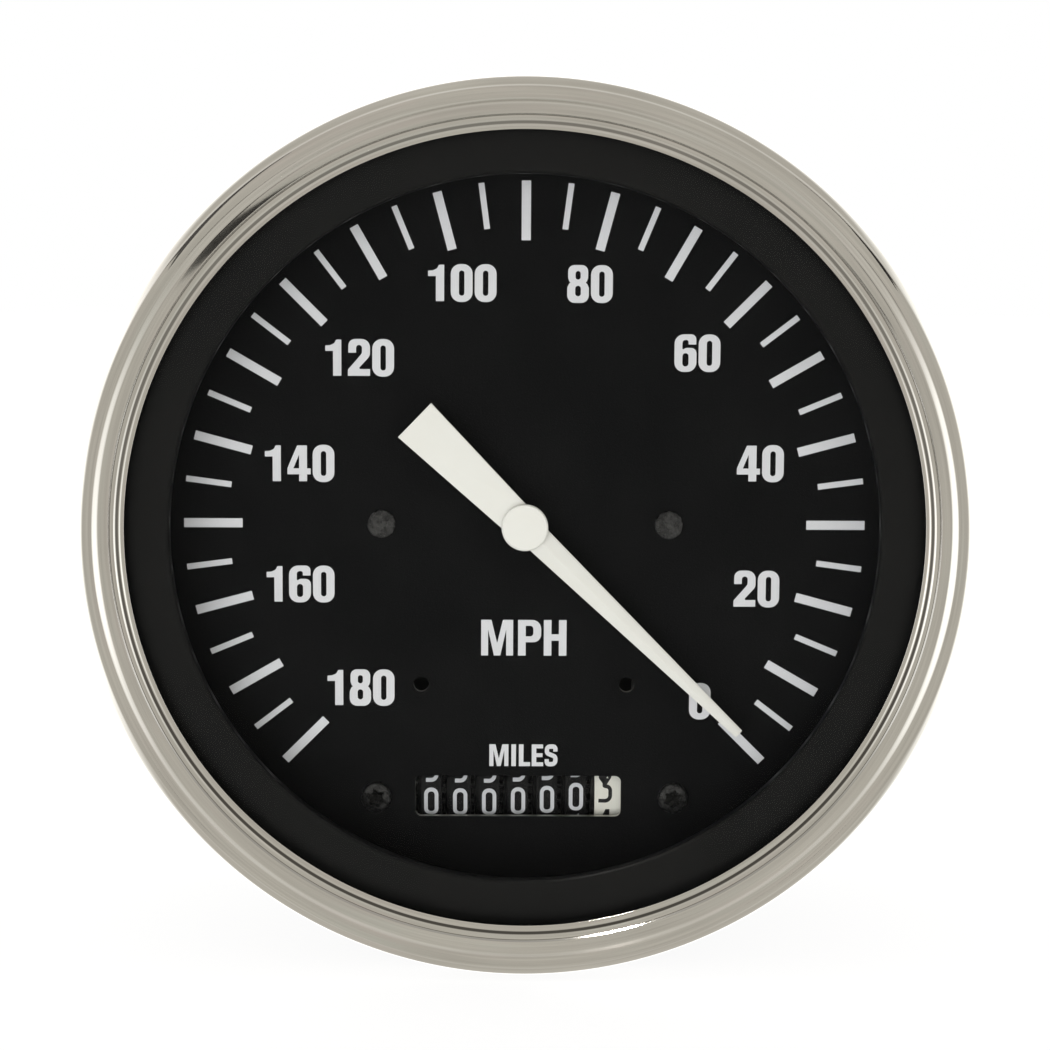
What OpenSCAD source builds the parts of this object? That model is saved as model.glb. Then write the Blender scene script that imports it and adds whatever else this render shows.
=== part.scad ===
// Panel speedometer with an air-core pointer movement and a seven-wheel mileage counter.
// In the finished model the dial faces -Y, +Z is twelve o'clock and X points right.
// The origin is the centre of the bezel's rear face, which rests on the instrument panel.
// The modules draw the instrument lying on its back: X right, Y towards twelve o'clock and
// Z towards the viewer, with Z = 0 at the panel. facing() then stands it up.

/* [Panel opening] */
// Diameter of the hole in the instrument panel
panel_hole_d = 117.5; // [114:0.5:124]
// Gap all round between the case and the panel hole
panel_hole_clear = 0.55; // [0.3:0.05:0.9]
// Thickness of the instrument panel that the bracket clamps
panel_t = 3; // [2.2:0.1:6]

/* [Bezel] */
// Reach of the bezel past the case, all round
bezel_overhang = 4.3; // [4:0.1:6]
// Width of the bezel's face, from its widest circle to its lip
bezel_face_w = 7.25; // [6.8:0.05:9]
// Thickness of the bezel's sheet metal
bezel_metal = 0.7; // [0.5:0.05:0.8]
// Height of the bezel's crest above the glass
bezel_crown = 2.5; // [2:0.1:4]
// Height of the bezel's widest circle above the panel
bezel_waist = 3.2; // [2.6:0.1:4]
// Width of the outer roll of the bezel
outer_roll_w = 3.1; // [2.6:0.1:3.5]
// Width of the small step between the outer and the inner roll
step_w = 0.5; // [0.2:0.05:0.6]
// Depth of that step
step_drop = 0.4; // [0.1:0.05:0.5]
// Width of the bead round the lip
lip_bead_w = 0.85; // [0.6:0.05:1.2]
// Height of that bead
lip_bead_h = 0.28; // [0.1:0.02:0.4]
// Width of the roll that turns the bezel behind the case flange
rear_roll_w = 1.1; // [0.9:0.1:1.4]
// Gap between the crimped edge and the case barrel
crimp_gap = 1.2; // [0.8:0.1:1.6]

/* [Glass and gasket] */
// Thickness of the glass
glass_t = 2; // [1.5:0.1:3]
// Thickness of the gasket under the glass
gasket_t = 1.5; // [1:0.1:2.5]
// Gap between the edge of the glass and the rim of the case flange
glass_inset = 0.4; // [0.2:0.1:1]

/* [Case] */
// Wall of the drawn steel case
case_wall = 0.8; // [0.6:0.1:1]
// Depth of the case behind the panel
case_depth = 52; // [51:0.5:60]
// Width of the shelf that the dial rests on
case_step_w = 1.8; // [1.2:0.1:2.2]
// Radius of the rounded edge at the back of the case
case_corner_r = 3; // [1.5:0.5:5]
// Gap between the case flange and the bezel's roll
flange_clear = 0.3; // [0.2:0.05:0.5]

/* [Dial and trim ring] */
// Depth of the dial's face behind the panel
dial_depth = 8.2; // [7.6:0.1:10]
// Thickness of the dial plate
dial_t = 1; // [0.8:0.1:1.5]
// Gap between the dial and the case
dial_clear = 0.3; // [0.1:0.05:0.5]
// Opening of the black trim ring
ring_opening_d = 98.7; // [92:0.1:104]
// Thickness of the trim ring's metal
ring_metal = 0.6; // [0.4:0.05:0.8]
// Depth of the ring's turned-down inner edge
ring_edge_h = 1.8; // [1.2:0.1:3]
// Gap between the ring and the glass
ring_gap = 0.3; // [0.2:0.05:0.6]
// Diameter of the spindle hole in the dial
spindle_hole_d = 5; // [4.6:0.1:5.6]
// Diameter of the two small sight holes
sight_hole_d = 2.2; // [1.6:0.1:3]
// Distance of each sight hole from the centre line
sight_hole_x = 14.8; // [12:0.1:17]
// Distance of the sight holes below the spindle
sight_hole_down = 23.3; // [22:0.1:26]

/* [Pointer] */
// Length of the blade, from the spindle to the tip
blade_len = 42.8; // [36:0.1:46]
// Width of the blade at the spindle
blade_root_w = 4; // [3:0.1:5]
// Width of the blunt tip
blade_tip_w = 1.3; // [0.8:0.1:1.6]
// Height of the blade's ridge at the spindle
blade_ridge_h = 1.1; // [0.9:0.05:1.3]
// Height of the blade's edges at the spindle
blade_edge_h = 0.45; // [0.3:0.05:0.6]
// Height of the ridge at the tip
blade_tip_h = 0.7; // [0.5:0.05:0.9]
// Length of the tail
tail_len = 21.7; // [16:0.1:24]
// Width of the tail at the spindle
tail_root_w = 4.6; // [4:0.1:5.4]
// Width of the tail at its square end
tail_end_w = 6.7; // [5.6:0.1:8]
// Thickness of the tail
tail_t = 0.8; // [0.6:0.05:1]
// Diameter of the cap over the spindle
cap_d = 6.6; // [5.8:0.1:8]
// Thickness of that cap
cap_t = 1; // [0.7:0.05:1.3]
// Height of the cap's face above the dial
cap_height = 5.1; // [4.8:0.1:5.6]
// Angle of the pointer as it stands, from three o'clock
pointer_angle = -44; // [-45:0.1:225]

/* [Movement] */
// Distance of each movement screw from the spindle
movement_screw_x = 20.55; // [19.8:0.05:22]
// Diameter of the flat head of a movement screw
movement_head_d = 3.95; // [3.4:0.05:5]
// Thickness of the plate that carries the movement
carrier_t = 2.5; // [2:0.1:3.5]
// Diameter of the pointer spindle
spindle_d = 1.5; // [1.2:0.1:1.8]
// Running gap round the spindle
spindle_clear = 0.03; // [0.02:0.01:0.06]
// Diameter of the bearing bushes
bush_d = 4; // [3.2:0.1:4.2]
// Width of the square bobbin
bobbin_w = 18; // [16:0.5:19]
// Length of the bobbin along the spindle
bobbin_len = 11; // [10:0.5:12]
// Wall at each end of the bobbin
bobbin_wall = 2.5; // [2:0.1:3]
// Diameter of the rotor magnet
magnet_d = 13; // [9:0.5:13]
// Thickness of the rotor magnet
magnet_t = 4; // [2.5:0.1:4.5]
// Thickness of each coil winding
coil_t = 1.6; // [1:0.1:2]
// Width of each half of a coil
coil_w = 4.2; // [3:0.1:4.4]
// Wall of the shield can
can_wall = 0.6; // [0.4:0.05:1]

/* [Circuit board] */
// Depth of the circuit board behind the panel
board_depth = 37.5; // [36.5:0.5:39]
// Thickness of the circuit board
board_t = 1.6; // [1:0.1:2]
// Distance of each board post from the centre line
post_x = 23; // [22:0.5:25]
// Distance of the upper posts above the spindle
post_up = 19; // [18:0.5:21]
// Distance of the lower posts below the spindle
post_down = 13; // [12:0.5:14]
// Diameter of a board post
post_d = 5; // [4:0.5:6]
// Margin of the board round its posts
board_margin = 4; // [3.5:0.5:4.5]
// Number of terminal blades
blade_count = 5; // [3:1:5]
// Spacing of the terminal blades
blade_pitch = 5.5; // [4:0.1:5.6]
// Length of a blade behind the terminal block
blade_reach = 8; // [6:0.5:10]
// Width of a terminal blade
terminal_w = 6.3; // [4.8:0.1:6.5]
// Height of the terminal block's centre above the spindle
terminal_up = 14; // [13.5:0.1:14.5]
// Distance of the setting button below the spindle
button_down = 13; // [12.6:0.1:13.4]
// Diameter of the setting button
button_d = 3.6; // [3:0.1:4]
// Travel of the setting button
button_travel = 0.8; // [0.4:0.1:1.2]
// Reach of the button behind the case
button_reach = 3.5; // [2.5:0.5:6]

/* [Mileage counter] */
// Distance of the counter below the spindle
counter_down = 39.7; // [39:0.1:40.5]
// Offset of the counter from the centre line
counter_x = -0.75; // [-1.5:0.05:0.5]
// Diameter of a number wheel
wheel_d = 16; // [15:0.1:17]
// Spacing of the number wheels
wheel_pitch = 4.21; // [4.1:0.01:4.3]
// Width of a number wheel's rim
rim_w = 3; // [2.8:0.05:3.1]
// Width of the tenths wheel's rim
tenths_rim_w = 3.9; // [3:0.05:4]
// Gap between the wheels and the back of the dial
wheel_gap = 0.35; // [0.2:0.05:0.8]
// Height of the counter window
window_h = 6; // [5:0.1:6.6]
// Gap at each end of the window past the outer rims
window_margin = 0.75; // [0.4:0.05:1]
// Radius of the window's corners
window_corner_r = 0.9; // [0.4:0.1:1.4]
// Diameter of the wheel shaft
wheel_shaft_d = 2.5; // [2:0.1:3]
// Diameter of the transfer pinion shaft
pinion_shaft_d = 1.2; // [1:0.1:1.3]
// Diameter of the sleeve of a transfer pinion
pinion_sleeve_d = 2; // [1.8:0.1:2.4]
// Running gap of wheels and pinions on their shafts
shaft_clear = 0.05; // [0.02:0.01:0.08]
// Side gap between turning pieces of the counter
side_clear = 0.1; // [0.06:0.01:0.14]
// Distance of each counter screw from the centre line
counter_screw_x = 21.45; // [21.2:0.05:23]
// Diameter of the pan head of a counter screw
counter_head_d = 4.3; // [3.8:0.1:5]
// Thickness of the counter frame's sheet metal
frame_metal = 1; // [0.8:0.1:1.2]
// Height of the counter frame
frame_h = 17; // [16:0.5:17]
// Diameter of the stepper motor
motor_d = 12; // [10:0.5:12]
// Length of the stepper motor
motor_len = 14; // [11:0.5:16]

/* [Lamps] */
// Distance of each lamp from the centre line
lamp_x = 35; // [34.5:0.5:36]
// Distance of the lamps above the spindle
lamp_up = 27; // [26:0.5:28]
// Diameter of the lamp hole in the case
lamp_hole_d = 12.4; // [11:0.1:12.6]
// Diameter of the lamp bulb
bulb_d = 9.8; // [8:0.1:10]
// Length of the bulb in front of its socket
bulb_len = 18; // [12:0.5:20]

/* [Mounting] */
// Distance of each mounting stud from the centre line
stud_x = 30; // [28:0.5:33]
// Diameter of a mounting stud
stud_d = 4; // [3:0.1:5]
// Length of a mounting stud behind the case
stud_len = 32; // [28:1:45]
// Gap between the case and the bracket's cross strip
bracket_standoff = 6; // [4:0.5:9]
// Width of the bracket
bracket_w = 16; // [12:1:17]
// Thickness of the bracket
bracket_t = 1.6; // [1.2:0.1:2]
// Gap between the case barrel and the bracket's legs
leg_gap = 1.4; // [1.2:0.1:2]

/* [Hidden] */
$fn = 72;

// Radii of the round pieces
barrel_r = panel_hole_d / 2 - panel_hole_clear;
bezel_r = barrel_r + bezel_overhang;
lip_r = bezel_r - bezel_face_w;
crest_r = bezel_r - outer_roll_w;
step_r = crest_r - step_w;
groove_r = lip_r + lip_bead_w;
crimp_r = barrel_r + crimp_gap;
flange_r = bezel_r - rear_roll_w - flange_clear;
glass_r = flange_r - glass_inset;
mouth_r = barrel_r - case_wall;
rear_r = barrel_r - case_step_w;
dial_r = mouth_r - dial_clear;

// Heights above the panel, towards the viewer, and depths behind it below zero
flange_z = bezel_metal;
gasket_z = flange_z + case_wall;
glass_z = gasket_z + gasket_t;
glass_front_z = glass_z + glass_t;
lip_z = glass_front_z + bezel_metal;
crest_z = glass_front_z + bezel_crown;
ring_z = glass_z - ring_gap;
dial_z = -dial_depth;
dial_back_z = dial_z - dial_t;
case_back_z = -case_depth;
case_floor_z = case_back_z + case_wall;

// Pointer levels
cap_z = dial_z + cap_height;
blade_top_z = cap_z - cap_t;
blade_z = blade_top_z - blade_ridge_h;
hub_r = 2.9;
hub_foot_z = dial_z + 1;
cap_chamfer = 0.3;

// Movement levels, from the dial back into the case
spindle_r = spindle_d / 2;
bush_r = bush_d / 2;
spindle_pocket_r = spindle_r + spindle_clear;
coil_gap = 0.2;
carrier_back_z = dial_back_z - carrier_t;
bobbin_z = carrier_back_z - 2 * (coil_t + coil_gap) - coil_gap;
bobbin_back_z = bobbin_z - bobbin_len;
bobbin_mid_z = bobbin_z - bobbin_len / 2;
can_floor_z = bobbin_back_z - 2 * (coil_t + coil_gap) - coil_gap;
bobbin_half = bobbin_w / 2;
bobbin_corner_r = 2;
magnet_space = 0.7;
cavity_r = magnet_d / 2 + magnet_space;
corner_post_r = 1.5;
can_inner_r = norm([bobbin_half, bobbin_half]) + corner_post_r + coil_gap;
can_r = can_inner_r + can_wall;
coil_start = bush_r + coil_gap;
bush_front_z = dial_back_z - 0.3;
rear_bush_len = bobbin_wall - 0.3;
spindle_end_z = bobbin_back_z + bobbin_wall - rear_bush_len + 0.3;
movement_shank_r = 1;
movement_head_t = 0.6;
screw_clear = 0.05;
ear_w = 6;
arm_w = post_d - 1;

// Circuit board levels
board_z = -board_depth;
board_back_z = board_z - board_t;
board_w = 2 * (post_x + board_margin);
board_h = post_up + post_down + 2 * board_margin;
board_y = (post_up - post_down) / 2;
board_screw_r = 1;
board_screw_depth = 6;
board_head_r = 1.9;
board_head_t = 1.3;
board_corner_r = 2;
terminal_wall = 1.6;
block_w = blade_pitch * (blade_count - 1) + 2 * terminal_wall + 1;
block_h = terminal_w + 2 * terminal_wall;
block_back_z = case_back_z - 2;
terminal_t = 0.8;
blade_taper_w = 0.7;
blade_taper_len = 1;
blade_hole_d = 1.6;
blade_hole_in = 3;
opening_clear = 0.3;
switch_w = 6.4;
switch_h = 4.6;
button_r = button_d / 2;
switch_top_z = board_back_z - switch_h;
button_foot_z = switch_top_z + 1.6;
grommet_r = button_r + 1.6;
grommet_flange_r = grommet_r + 1.2;

// Mileage counter: the wheels and the pinions turn about X
wheel_count = 7;
counter_y = -counter_down;
wheel_r = wheel_d / 2;
wheel_z = dial_back_z - wheel_gap - wheel_r;
wheel_bore_r = wheel_shaft_d / 2 + shaft_clear;
pinion_bore_r = pinion_shaft_d / 2 + shaft_clear;
sleeve_clear = 0.2;
mesh_distance = wheel_r + sleeve_clear + pinion_sleeve_d / 2;
pinion_z = wheel_z - mesh_distance;
wheel_teeth = 20;
pinion_teeth = 8;
tooth_module = 2 * mesh_distance / (wheel_teeth + pinion_teeth);
recess_w = wheel_pitch - rim_w;
tooth_w = (recess_w - side_clear) / 2;
pinion_w = recess_w - 2 * side_clear;
pinion_tip_r = tooth_module * (pinion_teeth / 2 + 0.9);
driver_disc_r = mesh_distance - pinion_tip_r - 0.2;
carry_angle = -30;
tenths_shown = 0.33;

// Drive of the counter, on the right of the tenths wheel
drive_teeth = 30;
motor_teeth = 10;
drive_module = 0.4;
drive_gear_w = 1.2;
drive_distance = drive_module * (drive_teeth + motor_teeth) / 2;
motor_direction = 75;
motor_y = counter_y + drive_distance * sin(motor_direction);
motor_z = pinion_z - drive_distance * cos(motor_direction);
tenths_x = counter_x + (wheel_count - 1) / 2 * wheel_pitch;
drive_x = tenths_x - rim_w / 2 + tenths_rim_w + side_clear;
drive_gear_x = drive_x + tooth_w + 0.3;
right_plate_x = drive_gear_x + drive_gear_w + 0.4;
left_plate_x = counter_x - (wheel_count - 1) / 2 * wheel_pitch - rim_w / 2 - tooth_w - 1;
frame_back_z = pinion_z - drive_module * (drive_teeth / 2 + 1) - 0.8;
frame_low_y = counter_y - frame_h / 2;
frame_bend_r = 1.4;
tab_end = counter_screw_x + 3.8;
motor_shaft_r = 0.75;
motor_shaft_depth = 6;
motor_screw_r = 0.8;
motor_ear_w = 4;
motor_ear_t = 1;
motor_ear_r = motor_d / 2 + motor_ear_w / 2 - 0.1;
motor_head_r = 1.5;
motor_head_t = 1;
shaft_end = 2.5;
clip_t = 0.5;
clip_w = 1.2;
counter_shank_r = 1.25;
counter_head_h = 1.5;
counter_head_round = 0.7;
star_across = 2.4;
star_slot_w = 0.8;
star_depth = 0.9;
window_w = (wheel_count - 1) * wheel_pitch + rim_w + 2 * window_margin;

// Lamps and mounting
lamp_neck_r = lamp_hole_d / 2 - 0.2;
lamp_neck_z = case_floor_z + 6;
lamp_flange_r = lamp_neck_r + 1.8;
lamp_flange_t = 1.4;
lamp_grip_len = 7;
lamp_grip_t = 2;
stud_r = stud_d / 2;
stud_clear = 0.3;
thread_clear = 0.05;
bracket_z = case_back_z - bracket_standoff;
bracket_back_z = bracket_z - bracket_t;
leg_x = barrel_r + leg_gap;
washer_t = 1;
washer_r = stud_r + 3;
nut_t = 3.2;
stud_head_w = 2.2;
stud_head_t = 1;
stud_collar_w = 1.2;
stud_collar_t = 1.2;
bracket_bend_r = 1.6;

// Stands the drawn instrument up: Y becomes Z and Z becomes -Y
module facing() {
    rotate([90, 0, 0]) children();
}

// Puts the children at the same place left and right of the centre line
module both_sides(x, y = 0) {
    for (side = [-1, 1]) {
        translate([side * x, y, 0]) children();
    }
}

// Puts the children at each board post
module at_posts() {
    both_sides(post_x, post_up) children();
    both_sides(post_x, -post_down) children();
}

// A cylinder from one height to another
module rod(r, from, to) {
    translate([0, 0, min(from, to)]) cylinder(r = r, h = abs(to - from));
}

// A tube from one height to another
module tube(r, bore, from, to) {
    difference() {
        rod(r, from, to);
        rod(bore, min(from, to) - 1, max(from, to) + 1);
    }
}

// Children drawn flat at the origin, stood on the line along X through y and z, from x onwards.
// The flat shape's own X then points away from the viewer.
module on_axle(x, y, z) {
    translate([x, y, z]) rotate([0, 90, 0]) children();
}

// A rectangle with round corners, flat
module rounded_rect(w, h, r) {
    square([w - 2 * r, h], center = true);
    square([w, h - 2 * r], center = true);
    for (x = [-1, 1], y = [-1, 1]) {
        translate([x * (w / 2 - r), y * (h / 2 - r)]) circle(r = r);
    }
}

// Points of an ellipse about centre c with half axes a and b, in n steps between two angles
function arc(c, a, b, from, to, n) = [
    for (i = [0:n])
        let (t = from + (to - from) * i / n)
            [c[0] + a * cos(t), c[1] + b * sin(t)]
];

// Angle in degrees between the start of an involute and its point at radius r
function involute(r, base) =
    r <= base ? 0 : tan(acos(base / r)) * 180 / PI - acos(base / r);

// Half angle of a gear tooth at radius r; slack thins the tooth by that much at the pitch circle
function tooth_half(r, teeth, m, slack) =
    let (pitch = m * teeth / 2, base = pitch * cos(20))
        90 / teeth - slack / pitch * 90 / PI + involute(pitch, base) - involute(r, base);

// Radii at which a tooth's flank has a point, from its root to its tip
function flank_radii(teeth, m) =
    let (pitch = m * teeth / 2)
        [pitch - 1.15 * m, pitch - 0.4 * m, pitch + 0.2 * m, pitch + 0.9 * m];

// Outline of the gear teeth whose numbers are in the list
function gear_points(teeth, m, slack, numbers) = [
    for (i = numbers)
        let (
            radii = flank_radii(teeth, m),
            middle = i * 360 / teeth,
            last = len(radii) - 1
        )
            for (j = [0:2 * last + 1])
                let (
                    side = j <= last ? -1 : 1,
                    r = radii[j <= last ? j : 2 * last + 1 - j],
                    a = middle + side * tooth_half(r, teeth, m, slack)
                )
                    [r * cos(a), r * sin(a)]
];

// A full spur gear, flat
module gear_shape(teeth, m, slack = 0.16) {
    polygon(gear_points(teeth, m, slack, [0:teeth - 1]));
}

bezel_section = concat(
    [[crimp_r, bezel_metal], [crimp_r, 0]],
    arc([bezel_r - rear_roll_w, bezel_waist], rear_roll_w, bezel_waist, -90, -9, 6),
    arc([crest_r, bezel_waist], outer_roll_w, crest_z - bezel_waist, 0, 90, 14),
    arc([step_r, lip_z], step_r - groove_r, crest_z - step_drop - lip_z, 90, 180, 10),
    arc([lip_r + lip_bead_w / 2, lip_z], lip_bead_w / 2, lip_bead_h, 18, 180, 6),
    [[lip_r, glass_front_z], [groove_r + bezel_metal, glass_front_z]],
    arc(
        [step_r, glass_front_z],
        step_r - groove_r - bezel_metal, bezel_crown - step_drop - bezel_metal, 170, 90, 6
    ),
    arc([crest_r, bezel_waist], outer_roll_w - bezel_metal, crest_z - bezel_waist - bezel_metal, 90, 0, 8),
    arc(
        [bezel_r - rear_roll_w, bezel_waist], rear_roll_w - bezel_metal, bezel_waist - bezel_metal, -9, -90, 5
    )
);

// Polished ring that holds the glass and is crimped behind the case flange
module bezel() {
    color("silver") facing() rotate_extrude() polygon(bezel_section);
}

module lens() {
    color("aliceblue", 0.4) facing() rod(glass_r, glass_z, glass_front_z);
}

module lens_gasket() {
    color("#202020") facing() tube(glass_r, mouth_r + 0.1, gasket_z, glass_z);
}

ring_section = concat(
    [[ring_opening_d / 2, ring_z - ring_edge_h]],
    arc([ring_opening_d / 2 + ring_metal, ring_z - ring_metal], ring_metal, ring_metal, 180, 90, 6),
    [
        [dial_r, ring_z],
        [dial_r, dial_z],
        [dial_r - ring_metal, dial_z],
        [dial_r - ring_metal, ring_z - ring_metal],
        [ring_opening_d / 2 + ring_metal, ring_z - ring_metal],
        [ring_opening_d / 2 + ring_metal, ring_z - ring_edge_h]
    ]
);

// Black ring between glass and dial, with a skirt that holds the dial on its shelf
module dial_ring() {
    color("#1c1c1c") facing() rotate_extrude() polygon(ring_section);
}

case_section = concat(
    [
        [mouth_r, gasket_z],
        [flange_r, gasket_z],
        [flange_r, flange_z],
        [barrel_r, flange_z],
        [barrel_r, dial_back_z - case_wall],
        [rear_r, dial_back_z - case_wall]
    ],
    arc(
        [rear_r - case_corner_r, case_back_z + case_corner_r], case_corner_r, case_corner_r, 0, -90, 8
    ),
    [[0, case_back_z], [0, case_floor_z]],
    arc(
        [rear_r - case_corner_r, case_back_z + case_corner_r],
        case_corner_r - case_wall, case_corner_r - case_wall, -90, 0, 8
    ),
    [[rear_r - case_wall, dial_back_z], [mouth_r, dial_back_z]]
);

// Drawn steel cup with a flange at its mouth, a shelf for the dial and holes in its back
module case() {
    color("#3a3c3e") facing() difference() {
        rotate_extrude() polygon(case_section);
        both_sides(lamp_x, lamp_up) rod(lamp_hole_d / 2, case_back_z - 1, case_floor_z + 1);
        both_sides(stud_x) rod(stud_r + thread_clear, case_back_z - 1, case_floor_z + 1);
        translate([0, -button_down, 0]) rod(grommet_r, case_back_z - 1, case_floor_z + 1);
        translate([0, terminal_up, case_back_z - 1]) linear_extrude(case_wall + 2)
            square([block_w + 2 * opening_clear, block_h + 2 * opening_clear], center = true);
    }
}

// Satin black disc with the counter window and the holes for spindle and screws
module dial_plate() {
    color("#181818") facing() translate([0, 0, dial_back_z]) linear_extrude(dial_t) difference() {
        circle(r = dial_r);
        circle(d = spindle_hole_d);
        both_sides(movement_screw_x) circle(r = movement_shank_r + screw_clear);
        both_sides(counter_screw_x, counter_y) circle(r = counter_shank_r + screw_clear);
        both_sides(sight_hole_x, -sight_hole_down) circle(d = sight_hole_d);
        translate([counter_x, counter_y]) rounded_rect(window_w, window_h, window_corner_r);
    }
}

// Two flat-headed screws that hold the movement behind the dial
module movement_screws() {
    color("#3c4044") facing() both_sides(movement_screw_x) {
        rod(movement_head_d / 2 - 0.15, dial_z + movement_head_t - 0.15, dial_z + movement_head_t);
        rod(movement_head_d / 2, dial_z, dial_z + movement_head_t - 0.15);
        rod(movement_shank_r, dial_z, carrier_back_z);
    }
}

counter_head_section = concat(
    [[0, dial_z], [counter_head_d / 2, dial_z]],
    arc(
        [counter_head_d / 2 - counter_head_round, dial_z + counter_head_h - counter_head_round],
        counter_head_round, counter_head_round, 0, 80, 5
    ),
    [[0, dial_z + counter_head_h + 0.1]]
);

// Two pan-headed screws with star sockets that hold the counter frame behind the dial
module counter_screws() {
    color("#2a2a2c") facing() both_sides(counter_screw_x, counter_y) {
        difference() {
            rotate_extrude() polygon(counter_head_section);
            translate([0, 0, dial_z + counter_head_h - star_depth]) linear_extrude(2 * star_depth)
                for (turn = [0:60:120]) rotate(turn) square([star_across, star_slot_w], center = true);
        }
        rod(counter_shank_r, dial_z, dial_back_z - frame_metal - 2);
    }
}

// Blade with a ridge down its middle, as ten corners: five at the spindle and five at the tip
module blade() {
    root = blade_root_w / 2;
    tip = blade_tip_w / 2;
    tip_edge_h = blade_tip_h - (blade_ridge_h - blade_edge_h) * tip / root;
    polyhedron(
        points = [
            [0, -root, 0], [0, root, 0], [0, root, blade_edge_h],
            [0, 0, blade_ridge_h], [0, -root, blade_edge_h],
            [blade_len, -tip, 0], [blade_len, tip, 0], [blade_len, tip, tip_edge_h],
            [blade_len, 0, blade_tip_h], [blade_len, -tip, tip_edge_h]
        ],
        faces = [
            [0, 1, 2, 3, 4], [9, 8, 7, 6, 5],
            [5, 6, 1, 0], [6, 7, 2, 1], [7, 8, 3, 2], [8, 9, 4, 3], [9, 5, 0, 4]
        ]
    );
}

// White pointer: ridged blade, flaring flat tail and the hub that grips the spindle
module pointer() {
    color("white") facing() difference() {
        union() {
            rod(hub_r, hub_foot_z, blade_top_z);
            rotate(pointer_angle) translate([0, 0, blade_z]) {
                blade();
                linear_extrude(tail_t) polygon([
                    [0, -tail_root_w / 2], [0, tail_root_w / 2],
                    [-tail_len, tail_end_w / 2], [-tail_len, -tail_end_w / 2]
                ]);
            }
        }
        rod(spindle_r, hub_foot_z - 1, blade_top_z - 0.8);
    }
}

// Disc over the spindle, with a bevelled edge
module pointer_cap() {
    color("white") facing() rotate_extrude() polygon([
        [0, blade_top_z], [cap_d / 2, blade_top_z], [cap_d / 2, cap_z - cap_chamfer],
        [cap_d / 2 - cap_chamfer, cap_z], [0, cap_z]
    ]);
}

module pointer_spindle() {
    color("silver") facing() rod(spindle_r, spindle_end_z, blade_top_z - 0.8);
}

// Disc magnet that the coils turn, pressed on the spindle
module magnet_rotor() {
    color("#505050") facing()
        tube(magnet_d / 2, spindle_r, bobbin_mid_z - magnet_t / 2, bobbin_mid_z + magnet_t / 2);
}

module front_bush() {
    color("goldenrod") facing() tube(bush_r, spindle_pocket_r, bobbin_z - bobbin_wall, bush_front_z);
}

// Blind bearing for the back end of the spindle
module rear_bush() {
    color("goldenrod") facing() difference() {
        rod(bush_r, bobbin_back_z, bobbin_back_z + bobbin_wall);
        rod(spindle_pocket_r, spindle_end_z - 0.2, bobbin_back_z + bobbin_wall + 1);
    }
}

// Moulded plate that carries the coils and the four posts of the circuit board
module movement_carrier() {
    color("ivory") facing() difference() {
        union() {
            translate([0, 0, carrier_back_z]) linear_extrude(carrier_t) {
                circle(r = can_r + 1.2);
                square([2 * movement_screw_x, ear_w], center = true);
                both_sides(movement_screw_x) circle(r = ear_w / 2 + 0.5);
                for (x = [-1, 1], y = [post_up, -post_down]) {
                    rotate(atan2(y, x * post_x)) translate([0, -arm_w / 2])
                        square([norm([post_x, y]), arm_w]);
                }
            }
            at_posts() rod(post_d / 2, board_z, dial_back_z);
        }
        rod(bush_r + screw_clear, carrier_back_z - 1, dial_back_z + 1);
        both_sides(movement_screw_x)
            rod(movement_shank_r + screw_clear, carrier_back_z - 1, dial_back_z + 1);
        at_posts() rod(board_screw_r + screw_clear, board_z - 1, board_z + board_screw_depth);
    }
}

// One half of the coil former, from its open side at the middle to its end wall
module bobbin_half_shell(end_z, foot_z) {
    wall = sign(bobbin_mid_z - end_z) * bobbin_wall;
    difference() {
        translate([0, 0, min(end_z, bobbin_mid_z)]) linear_extrude(abs(end_z - bobbin_mid_z))
            rounded_rect(bobbin_w, bobbin_w, bobbin_corner_r);
        rod(cavity_r, end_z + wall, bobbin_mid_z + sign(wall));
        rod(bush_r, end_z - sign(wall), bobbin_mid_z);
    }
    both_sides(bobbin_half, bobbin_half) rod(corner_post_r, bobbin_mid_z, foot_z);
    both_sides(bobbin_half, -bobbin_half) rod(corner_post_r, bobbin_mid_z, foot_z);
}

module bobbin_front() {
    color("ivory") facing() bobbin_half_shell(bobbin_z, carrier_back_z);
}

module bobbin_rear() {
    color("ivory") facing() bobbin_half_shell(bobbin_back_z, can_floor_z);
}

// Both halves of a coil, wound round the bobbin with the spindle passing between them.
// reach is the gap between the bobbin's ends and the turns.
module coil(reach) {
    inside_w = bobbin_w + 2 * coil_gap;
    inside_h = bobbin_len + 2 * reach;
    for (side = [-1, 1]) {
        translate([0, side * (coil_start + coil_w / 2), bobbin_mid_z]) rotate([90, 0, 0])
            linear_extrude(coil_w, center = true) difference() {
                rounded_rect(inside_w + 2 * coil_t, inside_h + 2 * coil_t, 1.5);
                square([inside_w, inside_h], center = true);
            }
    }
}

module coil_inner() {
    color("#b4602c") facing() coil(coil_gap);
}

module coil_outer() {
    color("#b4602c") facing() rotate(90) coil(coil_t + 2 * coil_gap);
}

// Steel cup over the coils that keeps stray fields out
module shield_can() {
    color("gainsboro") facing() difference() {
        rod(can_r, can_floor_z - can_wall, carrier_back_z);
        rod(can_inner_r, can_floor_z, carrier_back_z + 1);
    }
}

module circuit_board() {
    color("#2c5c3a") facing() translate([0, 0, board_back_z]) linear_extrude(board_t) difference() {
        translate([0, board_y]) rounded_rect(board_w, board_h, board_corner_r);
        at_posts() circle(r = board_screw_r + screw_clear);
    }
}

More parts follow.
